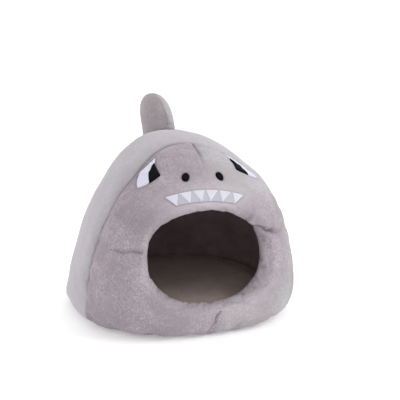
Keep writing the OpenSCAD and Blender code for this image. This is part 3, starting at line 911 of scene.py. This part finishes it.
M_FACE = plush("face_plush_pile", (0.380, 0.325, 0.362), (0.312, 0.263, 0.296), (0.540, 0.495, 0.530), sheen=0.25, speck=0.9)
M_FIN = plush("fin_plush_pile", (0.342, 0.299, 0.318), (0.307, 0.266, 0.284), (0.475, 0.450, 0.465), sheen=0.3, bump=0.4, speck=0.5)
M_ROOF = plush("roof_plush_pile", (0.470, 0.442, 0.475), (0.435, 0.407, 0.440), (0.555, 0.528, 0.56), sheen=0.25, bump=0.4, speck=0.5)
# the lining's colour is set darker and browner than its own grey: painted shade for the inside of the dome
M_LINE = plush("lining_pile", (0.285, 0.215, 0.22), (0.225, 0.165, 0.17), (0.36, 0.29, 0.29), sheen=0.2, speck=0.5)
# the cushion's colour: its own plush, made darker and warmer with painted shade
M_CUSH = plush("cushion_pile", (0.385, 0.303, 0.283), (0.335, 0.260, 0.240), (0.48, 0.405, 0.38), sheen=0.25, speck=0.6)
M_BASE = cloth("base_weave", (0.30, 0.28, 0.30), (0.20, 0.185, 0.20))
M_PAD = fibre("fibre_padding", (0.86, 0.85, 0.82), (0.70, 0.69, 0.66))
M_FOAM = fibre("floor_foam", (0.80, 0.77, 0.68), (0.70, 0.66, 0.56))
M_WHITE = thread("white_satin", (0.66, 0.67, 0.78), (0.55, 0.56, 0.68), 0.35, rough=0.6, sheen=0.1)
M_TOOTH = thread("tooth_satin", (0.68, 0.68, 0.76), (0.56, 0.56, 0.65), 1.2, rough=0.6, sheen=0.1)
M_GREY = thread("grey_satin", (0.50, 0.495, 0.55), (0.42, 0.415, 0.47), 0.0, rough=0.65, sheen=0.1)
M_BLACK = thread("black_satin", (0.006, 0.005, 0.007), (0.003, 0.003, 0.004), 0.8, rough=0.6, sheen=0.0)
M_BLACK.node_tree.nodes["Principled BSDF"].inputs["Specular IOR Level"].default_value = 0.04


def finish_piece(o, mat, nodes):
    upright(o)
    o.data.materials.append(mat)
    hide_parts(*nodes)
    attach(o, "root")
    return o


# ---- face -------------------------------------------------------------------

# coarse grid for the simulation: held at the seam, at the foot and inside the rim
CF, NRC, NFC = 168, 8, 22
fp, fn, fv = face_grid(0, CF, NRC, NFC)
pin = np.zeros(fp.shape[:2])
pin[0] = pin[-1] = 1
pin[1] = 0.8
cr, pf = darts(fp[..., 0], fp[..., 2])
pin = np.maximum(pin, np.clip(-cr * 0.8, 0, 1) * (fp[..., 1] < 0))
pin = np.round(pin, 2)
start = fp + fn * (-0.8 + pf)[..., None]
d_face = puff("face_cover", start, True, pin, pressure=5.0, grow=0.045, cap=1.5)

NCF, NRO, NFA = 462, 24, 66
P, N, V = face_grid(0, NCF, NRO, NFA)
D = to_dense(d_face, fv, V, NCF, True)
on_face, on_rim = smooth(V, 0.75, 1.05)[:, None], smooth(V, 0.25, 0.5)[:, None]
s_dist, s_idx = near_line(P, SEAM3)
s_len = SEAM_S[s_idx]
crease, pf = darts(P[..., 0], P[..., 2], on_face, on_rim)
puffed = smooth(np.linalg.norm(D, axis=-1), 0, 0.9)
foot = bell(P[..., 2] / 2.5) * (V > 1)[:, None]
groove = -0.95 * bell(s_dist / 0.95) - 0.40 * bell(s_dist / 3.6)
high = smooth(P[..., 2], 55, 85)
groove = groove * (1 - 0.45 * high)
pucker = 0.15 * (1 - 0.6 * high) * np.sin(s_len * 2 * np.pi / 6.3 + 1.7 * np.sin(s_len * 0.11)) * np.exp(-s_dist / 5.0) * smooth(s_dist, 0.2, 2.0)
soft_lumps = (0.35 * noise(P, 13.0, 5) + 0.2 * noise(turned(P, 20), 6.5, 6)) * (0.3 + 0.7 * smooth(V, 0.9, 1.3)[:, None]) * smooth(P[..., 2], 1, 14)
gather = 0.13 * noise(np.stack([np.cos(np.arange(NCF) / NCF * 2 * np.pi) * 30, np.sin(np.arange(NCF) / NCF * 2 * np.pi) * 30, np.zeros(NCF)], -1), 7.0, 9)[None, :] * (1 - smooth(V, 1.0, 1.45)[:, None]) * smooth(V, 0.1, 0.5)[:, None]
emb = stitched_near(P[..., 0], P[..., 2])
under = -0.55 * smooth(emb, 0.45, -0.15) * on_face - 0.25 * bell(emb / 2.2) * on_face
low = (-0.35 - 0.5 * puffed + 0.8 * bell((P[..., 2] - 62) / 18) * smooth(P[..., 0], 18, 36) + 0.9 * bell((P[..., 2] - 12) / 9.0) * smooth(np.abs(P[..., 0]), 25, 45) + pf + crease + groove + pucker + soft_lumps * smooth(s_dist, 0, 4) + gather + under) * (1 - foot) - 0.2 * foot
tuft = pile(P, 11, 1.4, 0.6) * smooth(emb, -0.1, 0.35) * (1 - 0.6 * bell(s_dist / 0.8))
face_low = D + N * low[..., None]
FACE_OUT = P + face_low + N * tuft[..., None]
Pi, Ni, Vi = face_grid(1, NCF, NRO, NFA, kin=2, grow=RIM_BULGE - 2)
inner = Pi + (D + N * np.minimum(low, 0.4)[..., None]) * 0.9
inner[-1] = (FACE_OUT[-1] + inner[-1]) / 2
x, z = P[..., 0], P[..., 2]
# greyer on the right of the forehead, along the right edge and right of the lower seam: partly the pile's direction,
# partly painted light from the right
grey = 0.75 * smooth(x + 0.35 * (z - 80), -2, 16) * smooth(z, 58, 74) + 0.7 * smooth(x, 28, 50) + 0.5 * smooth(x, 0.5, 3) * smooth(-z, -24, -12)
grey = np.clip(grey + 0.25 * noise(P, 12.0, 15), 0, 1)
# painted light: the right of the forehead, the lower right, the lower middle, the snout over the opening and round the
# nostrils are made paler; painted shade: the right edge and the left cheek are made darker
tone = 0.5 + 0.16 * smooth(x, -6, 14) * smooth(z, 60, 84) + 0.10 * smooth(x, -4, 22) * smooth(-z, -34, -18) + 0.05 * smooth(-z, -26, -12) * bell(x / 30) + 0.32 * bell((z - 69.5) / 6.5) * bell(x / 30) + 0.08 * bell((z - 80) / 6) * bell(x / 14) - 0.20 * smooth(x, 44, 58) - 0.05 * smooth(-x, 16, 30)
# painted shade along the seam
tone = tone - 0.34 * (1 - 0.5 * high) * bell(s_dist / 0.6) - 0.05 * bell(s_dist / 2.2)
# painted shade in the dart creases; tone that differs at random; painted highlight as a paler band beside the lower
# left seam
tone = tone + 0.16 * crease + 0.03 * noise(P, 9.0, 77) + 0.07 * bell((s_dist - 4.5) / 3.0) * smooth(-x, 20, 40) * (1 - smooth(z, 50, 65))
# painted shade round the stitched parts; paler tuft tips
tone = tone - 0.10 * bell((emb - 0.15) / 0.35) * on_face + 0.12 * tuft / 0.2 * 0.5
# painted light on the outer roll of the rim; painted shade at its inner end inside the opening
tone = tone + 0.10 * bell((V - 0.75) / 0.4)[:, None] - 0.07 * (1 - smooth(V, 0.05, 0.30))[:, None]
face = shell("face_plush_cover", FACE_OUT, inner, wrap=True, tone=np.clip(tone, 0, 1), grey=grey)
finish_piece(face, M_FACE, ["face_panel"])

# movement of the plush under the stitched parts, found by front position
tree = kdtree.KDTree(int((V > 1).sum()) * NCF)
rows = np.nonzero(V > 1)[0]
LOWS = (face_low - N * under[..., None])[rows].reshape(-1, 3)
XZ = P[rows].reshape(-1, 3)
for n_, c_ in enumerate(XZ):
    tree.insert((c_[0], 0.0, c_[2]), n_)
tree.balance()


def face_move(x, z):
    out = np.empty(x.shape + (3,))
    for idx in np.ndindex(x.shape):
        s, w = 0, 0
        for co, n, d in tree.find_n((x[idx], 0.0, z[idx]), 5):
            k = 1 / (d + 0.3) ** 2
            s = s + LOWS[n] * k
            w += k
        out[idx] = s / w
    return out


# ---- roof -------------------------------------------------------------------

FIN_TOP, FIN_CHORD, FIN_THICK, FIN_Y, FIN_SWEEP, FIN_TURN, FIN_LEFT, FIN_LEAN = 113.0, 29.5, 16.2, 13.5, 7.0, math.radians(5), 2.0, 1.0
FIN_Z0, FIN_Z1, FIN_COVER = 72.0, 95.0, 1.4


def fin_pt(v, a, e=0.0):
    """v is the level: 0 to 1 below the roof, 1 to 2 above; a is the angle from the front, positive on the left."""
    z = np.where(v < 1, FIN_Z0 + (FIN_Z1 - FIN_Z0) * v, FIN_Z1 + (FIN_TOP - FIN_Z1) * (1 - np.clip(2 - v, 0, 1) ** 1.8))
    u = np.maximum((z - FIN_Z1) / (FIN_TOP - FIN_Z1), 0)
    lo = np.minimum((z - FIN_Z0) / (FIN_Z1 - FIN_Z0), 1)
    g = np.maximum(1 - u ** 3.4, 0) ** 0.55
    half = FIN_CHORD / 2 * (0.62 + 0.38 * lo)
    yc = FIN_Y + half + FIN_SWEEP * u
    c = np.maximum(half * g - e, 0)
    t = np.maximum(FIN_THICK / 2 * g - e, 0)
    x, y = -t * spow(np.sin(a), 1.1), -c * np.cos(a)
    return np.stack([x * math.cos(FIN_TURN) - y * math.sin(FIN_TURN) - FIN_LEFT - FIN_LEAN * u,
                     yc + x * math.sin(FIN_TURN) + y * math.cos(FIN_TURN), z - e * u * u], -1)


def in_dome(p, more=0.0):
    t = np.interp(p[..., 2], Z_TAB, T_TAB)
    r = row(t)
    w = np.maximum(r[..., 1] * 60 + more, 0.01)
    v = (np.abs(p[..., 0] + 60 * r[..., 3]) / w) ** SQ + (np.abs(p[..., 1] - Y_MID - 60 * r[..., 2]) / w) ** SQ
    return (v < 1) & (p[..., 2] < BODY_H)


def fin_foot(a, more=0.0):
    lo, hi = np.zeros_like(a), np.full_like(a, 1.9)
    for _ in range(30):
        m = (lo + hi) / 2
        i = in_dome(fin_pt(m, a), more)
        lo, hi = np.where(i, m, lo), np.where(i, hi, m)
    return (lo + hi) / 2


FIN_A = np.linspace(-math.pi, math.pi, 241)
FIN_RING = fin_pt(fin_foot(FIN_A), FIN_A)

CR, NBC = 90, 44
rp, rn, rv = roof_grid(0, CR, NBC)
pin = np.zeros(rp.shape[:2])
pin[0] = pin[-1] = 1
pin[:, 0] = pin[:, -1] = 1
fd, _ = near_line(rp, FIN_RING)
pin = np.round(np.maximum(pin, 0.8 * bell(fd / 2.5)), 2)
start = rp - rn * 0.8
pin[:, 1] = pin[:, -2] = 1
d_roof = np.zeros_like(rp)
d_roof[:, 1:-1] = puff("roof_cover", start[:, 1:-1], False, pin[:, 1:-1], pressure=5.0, grow=0.035, cap=1.5)

NCR, NBR = 312, 138
P2, N2, V2 = roof_grid(0, NCR, NBR)
D2 = to_dense(d_roof, rv, V2, NCR + 1, False)
s2, i2 = near_line(P2, SEAM3)
l2 = SEAM_S[i2]
f2, _ = near_line(P2, FIN_RING)
foot2 = bell(P2[..., 2] / 2.5)
groove2 = -0.95 * bell(s2 / 0.95) - 0.40 * bell(s2 / 3.6)
high2 = smooth(P2[..., 2], 55, 85)
groove2 = groove2 * (1 - 0.45 * high2)
pucker2 = 0.13 * (1 - 0.6 * high2) * np.sin(l2 * 2 * np.pi / 6.3 + 1.7 * np.sin(l2 * 0.11) + 0.8) * np.exp(-s2 / 5.0) * smooth(s2, 0.2, 2.0)
lumps2 = 0.4 * noise(P2, 16.0, 25) + 0.18 * noise(turned(P2, 20), 7.5, 26)
low2 = (-0.35 - 0.6 * bell((P2[..., 2] - 83) / 8) * smooth(P2[..., 0], 12, 26) - 0.6 * bell((P2[..., 2] - 22) / 13) * smooth(-P2[..., 0], 30, 50) - 1.0 * bell((P2[..., 0] - 13) / 12) * smooth(P2[..., 2], 84, 92) * smooth(f2, 2, 8) + 1.1 * bell((P2[..., 2] - 4.5) / 4.5) * smooth(-P2[..., 0], 25, 50) - 0.75 * bell((P2[..., 2] - 58) / 26) * smooth(-P2[..., 0], 5, 25) + 0.6 * bell((P2[..., 2] - 62) / 18) * smooth(P2[..., 0], 18, 36) - 0.5 * smooth(np.linalg.norm(D2, axis=-1), 0, 0.9) + groove2 + pucker2 + lumps2 * smooth(s2, 0, 4) - 0.7 * bell(f2 / 1.6)) * (1 - foot2) - 0.2 * foot2
roof_low = D2 + N2 * low2[..., None]
tuft2 = pile(P2, 31, 1.7, 0.5) * (1 - 0.6 * bell(s2 / 0.8))
ROOF_OUT = P2 + roof_low + N2 * tuft2[..., None]
Pi2, _, _ = roof_grid(1, NCR, NBR)
inner2 = Pi2 + (D2 + N2 * np.minimum(low2, 0.4)[..., None]) * 0.9
inner2[0] = (ROOF_OUT[0] + inner2[0]) / 2
# painted shade along the seam, in a soft strip on the roof beside the lower left seam and round the fin's foot; paler
# tuft tips
tone2 = 0.5 - 0.34 * (1 - 0.5 * high2) * bell(s2 / 0.6) - 0.05 * bell(s2 / 2.2) - 0.09 * bell(s2 / 6.0) * smooth(-P2[..., 0], 5, 30) * smooth(P2[..., 2], 8, 25) - 0.22 * bell(f2 / 0.9) + 0.3 * tuft2
roof = shell("roof_plush_cover", ROOF_OUT, inner2, c0=True, c1=True, tone=np.clip(tone2, 0, 1))
finish_piece(roof, M_ROOF, ["roof_panel"])

# ---- padding, lining and floor ------------------------------------------------


def coarse_face(k, nc, nroll, nface, kin, grow, d_in):
    p, n, v = face_grid(k, nc, nroll, nface, kin=kin, grow=grow)
    return p, n, v


def closed_rows(name, R, mat, nodes, wrap_rows=True):
    """Closed surface whose rows join end to end."""
    ni, nj = R.shape[:2]
    ids = np.arange(ni * nj).reshape(ni, nj)
    if wrap_rows:
        ids = np.concatenate([ids, ids[:1]], 0)
    P = R.reshape(-1, 3).copy()
    P[:, 2] = np.maximum(P[:, 2], 0.02)
    P, faces, used = tidy(P, grid_faces(ids, True))
    return finish_piece(build(name, P, faces, np.full(len(P), 0.5)), mat, nodes)


# face padding: from the edge in to the rim at the outer layer, round the roll, out again at the inner layer
i_ = np.arange(168) * 42.0 / 168
PAD = []
for j in range(22, -1, -1):
    q = face_q(1, i_, np.full(168, j / 22))
    p, n = lay(1, q), lay_normal(1, q)
    c_, f_ = darts(p[..., 0], p[..., 2])
    g_, _ = near_line(p, SEAM3)
    PAD.append(p - n * (1.2 - np.minimum(c_ + f_, 0) * 0.9 + 1.2 * bell(g_ / 3.0) + 0.25 * noise(p, 6.0, 41))[:, None])
for m in range(1, 8):
    p, n = roll(1, 2, RIM_BULGE - 2.6, i_, np.full(168, 180.0 * m / 8))
    PAD.append(p - n * 0.3)
for j in range(0, 23):
    q = face_q(2, i_, np.full(168, j / 22))
    p, n = lay(2, q), lay_normal(2, q)
    PAD.append(p + n * (0.3 + 0.2 * noise(p, 6.0, 42))[:, None])
closed_rows("face_padding_batt", np.array(PAD), M_PAD, ["face_padding"])

pa, na, _ = roof_grid(1, 120, 50)
pb, nb, _ = roof_grid(2, 120, 50)
ga, _ = near_line(pa, SEAM3)
pa = pa - na * (1.2 + 1.2 * bell(ga / 3.0) + 0.25 * noise(pa, 6.0, 43))[..., None]
pb = pb + nb * (0.3 + 0.2 * noise(pb, 6.0, 44))[..., None]
o = shell("roof_padding_batt", pa, pb, c0=True, c1=True, tone=np.full(pa.shape[:2], 0.5))
finish_piece(o, M_PAD, ["roof_padding"])

# linings: the inner side shows through the opening, with the soft folds of a loose cloth
i_ = np.arange(210) * 42.0 / 210
A, B = [], []
for j in range(31):
    v = np.full(210, j / 30)
    qa, qb = face_q(2, i_, v), face_q(3, i_, v)
    a, na_ = lay(2, qa), lay_normal(2, qa)
    b, nb_ = lay(3, qb), lay_normal(3, qb)
    k = math.sin(math.pi * j / 30) ** 0.5
    w = (0.7 * noise(b, 11.0, 51) + 0.35 * noise(b, 5.0, 52)) * k
    A.append(a - na_ * 0.1)
    B.append(b - nb_ * np.maximum(w, -0.7)[:, None] + nb_ * pile(b, 53, 1.8, 0.8)[:, None])
o = shell("face_lining_cloth", np.array(A), np.array(B), wrap=True, tone=np.full((31, 210), 0.5))
finish_piece(o, M_LINE, ["face_lining"])

a, na_, _ = roof_grid(2, 180, 90)
b, nb_, _ = roof_grid(3, 180, 90)
gb, _ = near_line(b, lay(3, seam_pt(SEAM_A)))
w = (0.9 * noise(b, 14.0, 61) + 0.4 * noise(b, 6.0, 62)) * smooth(gb, 0, 6)
b = b - nb_ * (np.maximum(w, -0.7) - 0.6 * bell(gb / 1.6))[..., None] + nb_ * pile(b, 63, 2.0, 0.8)[..., None]
o = shell("roof_lining_cloth", a - na_ * 0.1, b, c0=True, c1=True, tone=np.full(a.shape[:2], 0.5))
finish_piece(o, M_LINE, ["roof_lining"])


def foot_loop(k, n=180):
    """Foot of the dome at layer k, evenly spaced by angle."""
    a = np.arange(n) * 2 * np.pi / n
    return lay(k, np.stack([np.cos(a), np.sin(a)], -1))


def plate(name, k, mat, nodes, up, down, rings=26, seed=71):
    lo, hi = foot_loop(k), foot_loop(k + 1)
    R = []
    for r in range(rings + 1):
        f = math.sin(math.pi / 2 * r / rings) ** 0.9
        R.append(hi.mean(0) + (hi - hi.mean(0)) * f * 0.995)
    top = np.array(R)
    bot = np.array([lo.mean(0) + (lo - lo.mean(0)) * (math.sin(math.pi / 2 * r / rings) ** 0.9) for r in range(rings + 1)])
    edge = np.linspace(0, 1, rings + 1)[:, None]
    top[..., 2] += -0.1 + up * noise(top, 7.0, seed) * (1 - edge ** 6)
    bot[..., 2] += 0.05 + down * (noise(bot, 7.0, seed + 1) + 1) * (1 - edge ** 6)
    o = shell(name, top, bot, wrap=True, pole0=True, tone=np.full(top.shape[:2], 0.5))
    return finish_piece(o, mat, nodes)


plate("base_cloth_panel", 0, M_BASE, ["base_panel"], 0.05, 0.06)
plate("base_foam_pad", 1, M_FOAM, ["base_foam"], 0.05, 0.04, rings=16, seed=75)
plate("floor_lining_cloth", 2, M_LINE, ["floor_lining"], 0.06, 0.04, rings=22, seed=79)

# ---- loose cushion ------------------------------------------------------------

CUSH_W, CUSH_T, CUSH_Y, CUSH_Z, COVER = 90.0, 7.0, 0.5, 10.5 + 0.05 + 3.5, 0.9


def cush(f, a, e, up):
    h = (CUSH_T / 2 - e) * np.sqrt(np.maximum(1 - f ** (3 if up > 0 else 5), 0))
    return np.stack([(CUSH_W / 2 - e) * f * spow(np.sin(a), 0.9), CUSH_Y - (CUSH_W / 2 - 1 - e) * f * spow(np.cos(a), 0.9), CUSH_Z + up * h], -1)


def cush_grid(nr, nc, e, up):
    f = np.sin(np.linspace(0, math.pi / 2, nr + 1))
    a = np.arange(nc) * 2 * np.pi / nc
    return cush(f[:, None] + 0 * a, a[None] + 0 * f[:, None], e, up)


cp = cush_grid(18, 96, 0.4, 1)
pin = np.zeros(cp.shape[:2])
pin[-1] = 1
pin[0] = 0.0
d_c = puff("cushion_cover", cp[1:], True, pin[1:], pressure=3.0, grow=0.04, cap=1.2)
d_c = np.concatenate([np.repeat(d_c[:1].mean(1, keepdims=True), 96, 1), d_c])
nrd, ncd = 60, 252
cd = cush_grid(nrd, ncd, 0, 1)
vc, vd = np.arange(19) / 18, np.arange(nrd + 1) / nrd
dc = to_dense(d_c, vc, vd, ncd, True)
cd_f = vd[:, None] + 0 * cd[..., 0]
sag = -0.9 * bell(np.hypot(cd[..., 0], cd[..., 1] - CUSH_Y) / 24.0)
up_ = sag + 0.35 * noise(cd, 9.0, 91) * smooth(cd_f, 1.0, 0.8) + pile(cd, 93, 1.6, 0.9)
top = cd + dc * 0.7
top[..., 2] += up_ * smooth(cd_f, 1.0, 0.93) - 0.2
low_c = cush_grid(nrd, ncd, COVER, 1) + dc * 0.7
low_c[..., 2] += np.minimum(sag, 0) - 0.35
# darker at the cushion's outer edge: painted shade
o = shell("cushion_top_plush", top, low_c, wrap=True, pole0=True, tone=np.clip(0.5 - 0.25 * bell((1 - cd_f) / 0.03), 0, 1))
finish_piece(o, M_CUSH, ["cushion_top_cover"])
cb = cush_grid(22, 126, 0, -1)
cb[..., 2] += 0.12 + 0.08 * noise(cb, 5.0, 95)
ci = cush_grid(22, 126, COVER, -1)
o = shell("cushion_bottom_plush", cb, ci, wrap=True, pole0=True, tone=np.full(cb.shape[:2], 0.5))
finish_piece(o, M_CUSH, ["cushion_bottom_cover"])
fu, fd_ = cush_grid(14, 96, COVER + 0.5, 1), cush_grid(14, 96, COVER + 0.3, -1)
for g_ in (fu, fd_):
    g_[..., :2] = [0, CUSH_Y] + (g_[..., :2] - [0, CUSH_Y]) * 0.955
fu[..., 2] += -1.2 * bell(np.hypot(fu[..., 0], fu[..., 1]) / 26.0) - 1.1 * np.clip((fu[..., 2] - CUSH_Z) / 2.0, 0, 1)
ids = np.arange(15 * 96).reshape(15, 96)
lower = ids[::-1] + 15 * 96
ids_all = np.concatenate([ids[:-1], lower[1:]], 0)
ids_all[0, :] = ids_all[0, 0]
ids_all[-1, :] = ids_all[-1, 0]
Pf, Ff, used = tidy(np.concatenate([fu.reshape(-1, 3), fd_.reshape(-1, 3)]), grid_faces(ids_all, True))
finish_piece(build("cushion_fibre_filling", Pf, Ff, np.full(len(Pf), 0.5)), M_PAD, ["cushion_filling"])

# ---- fin ----------------------------------------------------------------------


def fin_levels(a, n, sink):
    v0 = fin_foot(a, -sink)
    s = np.linspace(0, 1, n + 1)[:, None]
    return v0[None] + (2 - v0[None]) * s


def fin_normal(v, a):
    e = 1e-3
    dv = fin_pt(np.minimum(v + e, 1.9995), a) - fin_pt(np.minimum(v, 1.9995) - e, a)
    da = fin_pt(np.minimum(v, 1.9985), a + e) - fin_pt(np.minimum(v, 1.9985), a - e)
    n = unit(np.cross(dv, da))
    c = fin_pt(np.minimum(v, 1.999), a) - np.array([0, 0, 0])
    axis = (fin_pt(np.minimum(v, 1.999), a) + fin_pt(np.minimum(v, 1.999), a + math.pi)) / 2
    flip = np.sign(((c - axis) * n).sum(-1, keepdims=True))
    flip[flip == 0] = 1
    n = n * flip
    n[-1] = [0, 0, 1]
    return n


acs = np.arange(64) * 2 * np.pi / 64
vcs = fin_levels(acs, 22, 0.4)
fcp = fin_pt(vcs, acs[None] + 0 * vcs)
pin = np.zeros(fcp.shape[:2])
pin[0] = pin[-1] = 1
pin[:, [0, 32]] = 0.6
pin[-2] = 0.5
d_fin = np.zeros_like(fcp)
d_fin[:-1] = puff("fin_cover", fcp[:-1], True, pin[:-1], pressure=6.0, grow=0.03, cap=0.7, bend=0.3)
d_fin[-1] = d_fin[-2].mean(0)


def fin_half(side, name, nodes, mat):
    na_, nv = 84, 100
    a = np.linspace(0, math.pi, na_ + 1) * side
    v = fin_levels(a, nv, 0.4)
    aa = a[None] + 0 * v
    p = fin_pt(v, aa)
    n = fin_normal(v, aa)
    # movement of the simulated cover at the same place
    vr = np.linspace(0, 1, nv + 1) * 22
    g = cubic(d_fin, vr, False)
    col = (aa[0] % (2 * np.pi)) / (2 * np.pi) * 64
    d = cubic(g.transpose(1, 0, 2), col, True).transpose(1, 0, 2)
    # distance from the seam along the surface, in mm
    step = np.linalg.norm(np.diff(p, axis=1), axis=-1)
    l0 = np.concatenate([np.zeros((nv + 1, 1)), np.cumsum(step, 1)], 1)
    l1 = l0[:, -1:] - l0
    sd = np.minimum(l0, l1)
    sd[-1] = 0
    up = np.linalg.norm(p - p[0][None], axis=-1)
    lowf = -0.45 * bell(sd / 0.75) - 0.2 * bell(sd / 2.5) - 0.5 * bell(up / 1.6) + 0.15 * noise(p, 6.0, 101)
    cap_ = smooth(vr, 21.5, 18.0)[:, None]
    d = d * cap_[..., None]
    lowf = lowf * (0.3 + 0.7 * cap_) + 0.8 * cap_ + 0.10 * cap_ * np.sin(up * 2 * np.pi / 4.0) * np.exp(-sd / 2.5) * smooth(sd, 0.3, 1.2)
    tf = pile(p, 103, 1.5, 0.5)
    out = p + d + n * (lowf + tf * (1 - 0.6 * bell(sd / 0.8)))[..., None]
    inn = fin_pt(np.minimum(v, 1.97), aa, FIN_COVER) + (d + n * lowf[..., None]) * 0.8
    inn[-1] = inn[-1].mean(0)
    # painted shade along the fin's seam and at its foot; the right half is made paler, painted light from the right
    tn = 0.5 - 0.14 * bell(sd / 0.6) - 0.2 * bell(up / 0.9) + 0.3 * tf + (0.22 if side < 0 else 0.0)
    o = shell(name, out, inn, pole1=True, tone=np.clip(tn, 0, 1))
    return finish_piece(o, mat, nodes)


fin_half(1, "fin_left_plush", ["fin_left_panel"], M_FIN)
fin_half(-1, "fin_right_plush", ["fin_right_panel"], M_FIN)
af = np.arange(48) * 2 * np.pi / 48
vf = fin_levels(af, 20, 0.3)
pf_ = fin_pt(np.minimum(vf, 1.95), af[None] + 0 * vf, FIN_COVER + 0.6)
pf_[0, :, 2] += 0.3
base_row = np.repeat(pf_[0].mean(0)[None], 48, 0)
PF = np.concatenate([base_row[None], pf_, np.repeat(pf_[-1].mean(0)[None], 48, 0)[None]], 0)
idf = grid_ids(PF.shape[0], 48, True, True)
Pf, Ff, used = tidy(PF.reshape(-1, 3), grid_faces(idf, True))
finish_piece(build("fin_fibre_stuffing", Pf, Ff, np.full(len(Pf), 0.5)), M_PAD, ["fin_stuffing"])

# ---- stitched face --------------------------------------------------------------


def stitched(name, L, c, h0, h1, mat, node, angle, ridge=0.05, pitch=0.5, edge=0.55, step=0.2, lift=0.0):
    """Raised satin stitch inside an outline in front view. angle is the direction of the threads."""
    L = np.array(L, float)
    seg = np.linalg.norm(np.roll(L, -1, 0) - L, axis=1)
    s = np.concatenate([[0], np.cumsum(seg)])
    n = int(s[-1] / step)
    at = np.arange(n) * s[-1] / n
    C = np.concatenate([L, L[:1]])
    O = np.stack([np.interp(at, s, C[:, 0]), np.interp(at, s, C[:, 1])], -1)
    c = np.array(c, float)
    m = max(8, int(np.linalg.norm(O - c, axis=1).max() / step))
    f = np.linspace(0, 1, m + 1)[:, None, None]
    G = c + (O[None] - c) * f
    x, z = G[..., 0], G[..., 1]
    e = np.maximum(-from_outline(x, z, O), 0)
    e[-1] = 0
    crown = np.sqrt(1 - (1 - np.clip(e / edge, 0, 1)) ** 2)
    across = x * math.sin(angle) - z * math.cos(angle)
    ridges = ridge * np.abs(np.sin(across * np.pi / pitch)) * smooth(e, 0.05, 0.3)
    q = plan_xz(x, z)
    base = lay(0, q)
    nn = lay_normal(0, q)
    mv = face_move(x[::2, ::2], z[::2, ::2])
    mv = cubic(mv, np.minimum(np.arange(m + 1) / 2, len(mv) - 1), False)
    cols = np.arange(n) / 2
    mv = cubic(mv.transpose(1, 0, 2), np.minimum(cols, mv.shape[1] - 1), False).transpose(1, 0, 2)
    mv[0] = mv[0].mean(0)
    hi = base + mv + nn * (h0 + (h1 - h0) * crown + ridges + lift)[..., None]
    lo = base + mv + nn * (h0 - 0.25)
    o = shell(name, hi, lo, wrap=True, pole0=True)
    finish_piece(o, mat, [node])
    return o


for side, tag in ((1, "right"), (-1, "left")):
    eye = curved(EYE, 6)
    pup = curved(PUPIL, 6)
    em, pm = EYE_MID, PUPIL_MID
    if side < 0:
        eye = eye[::-1] * [-1, 1]
        pup = pup[::-1] * [-1, 1]
        em, pm = (-em[0], em[1]), (-pm[0], pm[1])
    stitched("eye_white_satin_" + tag, eye, em, -0.45, 0.2, M_WHITE, "eye_white_" + tag, side * -0.6)
    stitched("pupil_satin_" + tag, pup, pm, 0.0, 0.5, M_BLACK, "pupil_" + tag, side * 0.9)
    stitched("nostril_satin_" + tag, nostril(side), turn(side * 9, NOSE_Z), -0.45, 0.35, M_BLACK, "nostril_" + tag, 0.3)
u_, w_ = np.linspace(0, 1, 211), np.linspace(0, 1, 29)[:, None]
bx0, bx1 = tip_x(0), tip_x(5)
tx = TEETH_HALF * (2 * u_ - 1)
dx_ = bx0 + (bx1 - bx0) * u_
bx = (1 - w_) * tx + w_ * dx_ + TEETH_X
bz = (1 - w_) * gum(tx) + w_ * (gum(dx_) - TOOTH_H + 0.25)
bx, bz = turn(bx, bz)
be = np.maximum(-from_outline(bx, bz, band_line()), 0)
bcrown = np.sqrt(1 - (1 - np.clip(be / 0.5, 0, 1)) ** 2)
bq = plan_xz(bx, bz)
bn, bb = lay_normal(0, bq), lay(0, bq)
bm = face_move(bx[::2, ::2], bz[::2, ::2])
bm = cubic(bm, np.minimum(np.arange(29) / 2, 14), False)
bm = cubic(bm.transpose(1, 0, 2), np.minimum(np.arange(211) / 2, 105), False).transpose(1, 0, 2)
rib = 0.05 * np.abs(np.sin(bx * np.pi / 0.5)) * smooth(be, 0.05, 0.3)
band = shell("mouth_satin_band", bb + bm + bn * (-0.5 + 0.4 * bcrown + rib)[..., None], bb + bm - bn * 0.8)
finish_piece(band, M_GREY, ["mouth_band"])
for t in range(6):
    L, c = tooth_line(t)
    stitched("tooth_satin_%d" % (t + 1), L, c, -0.25, 0.35, M_TOOTH, "tooth_%d" % (t + 1), 1.25, pitch=0.45)
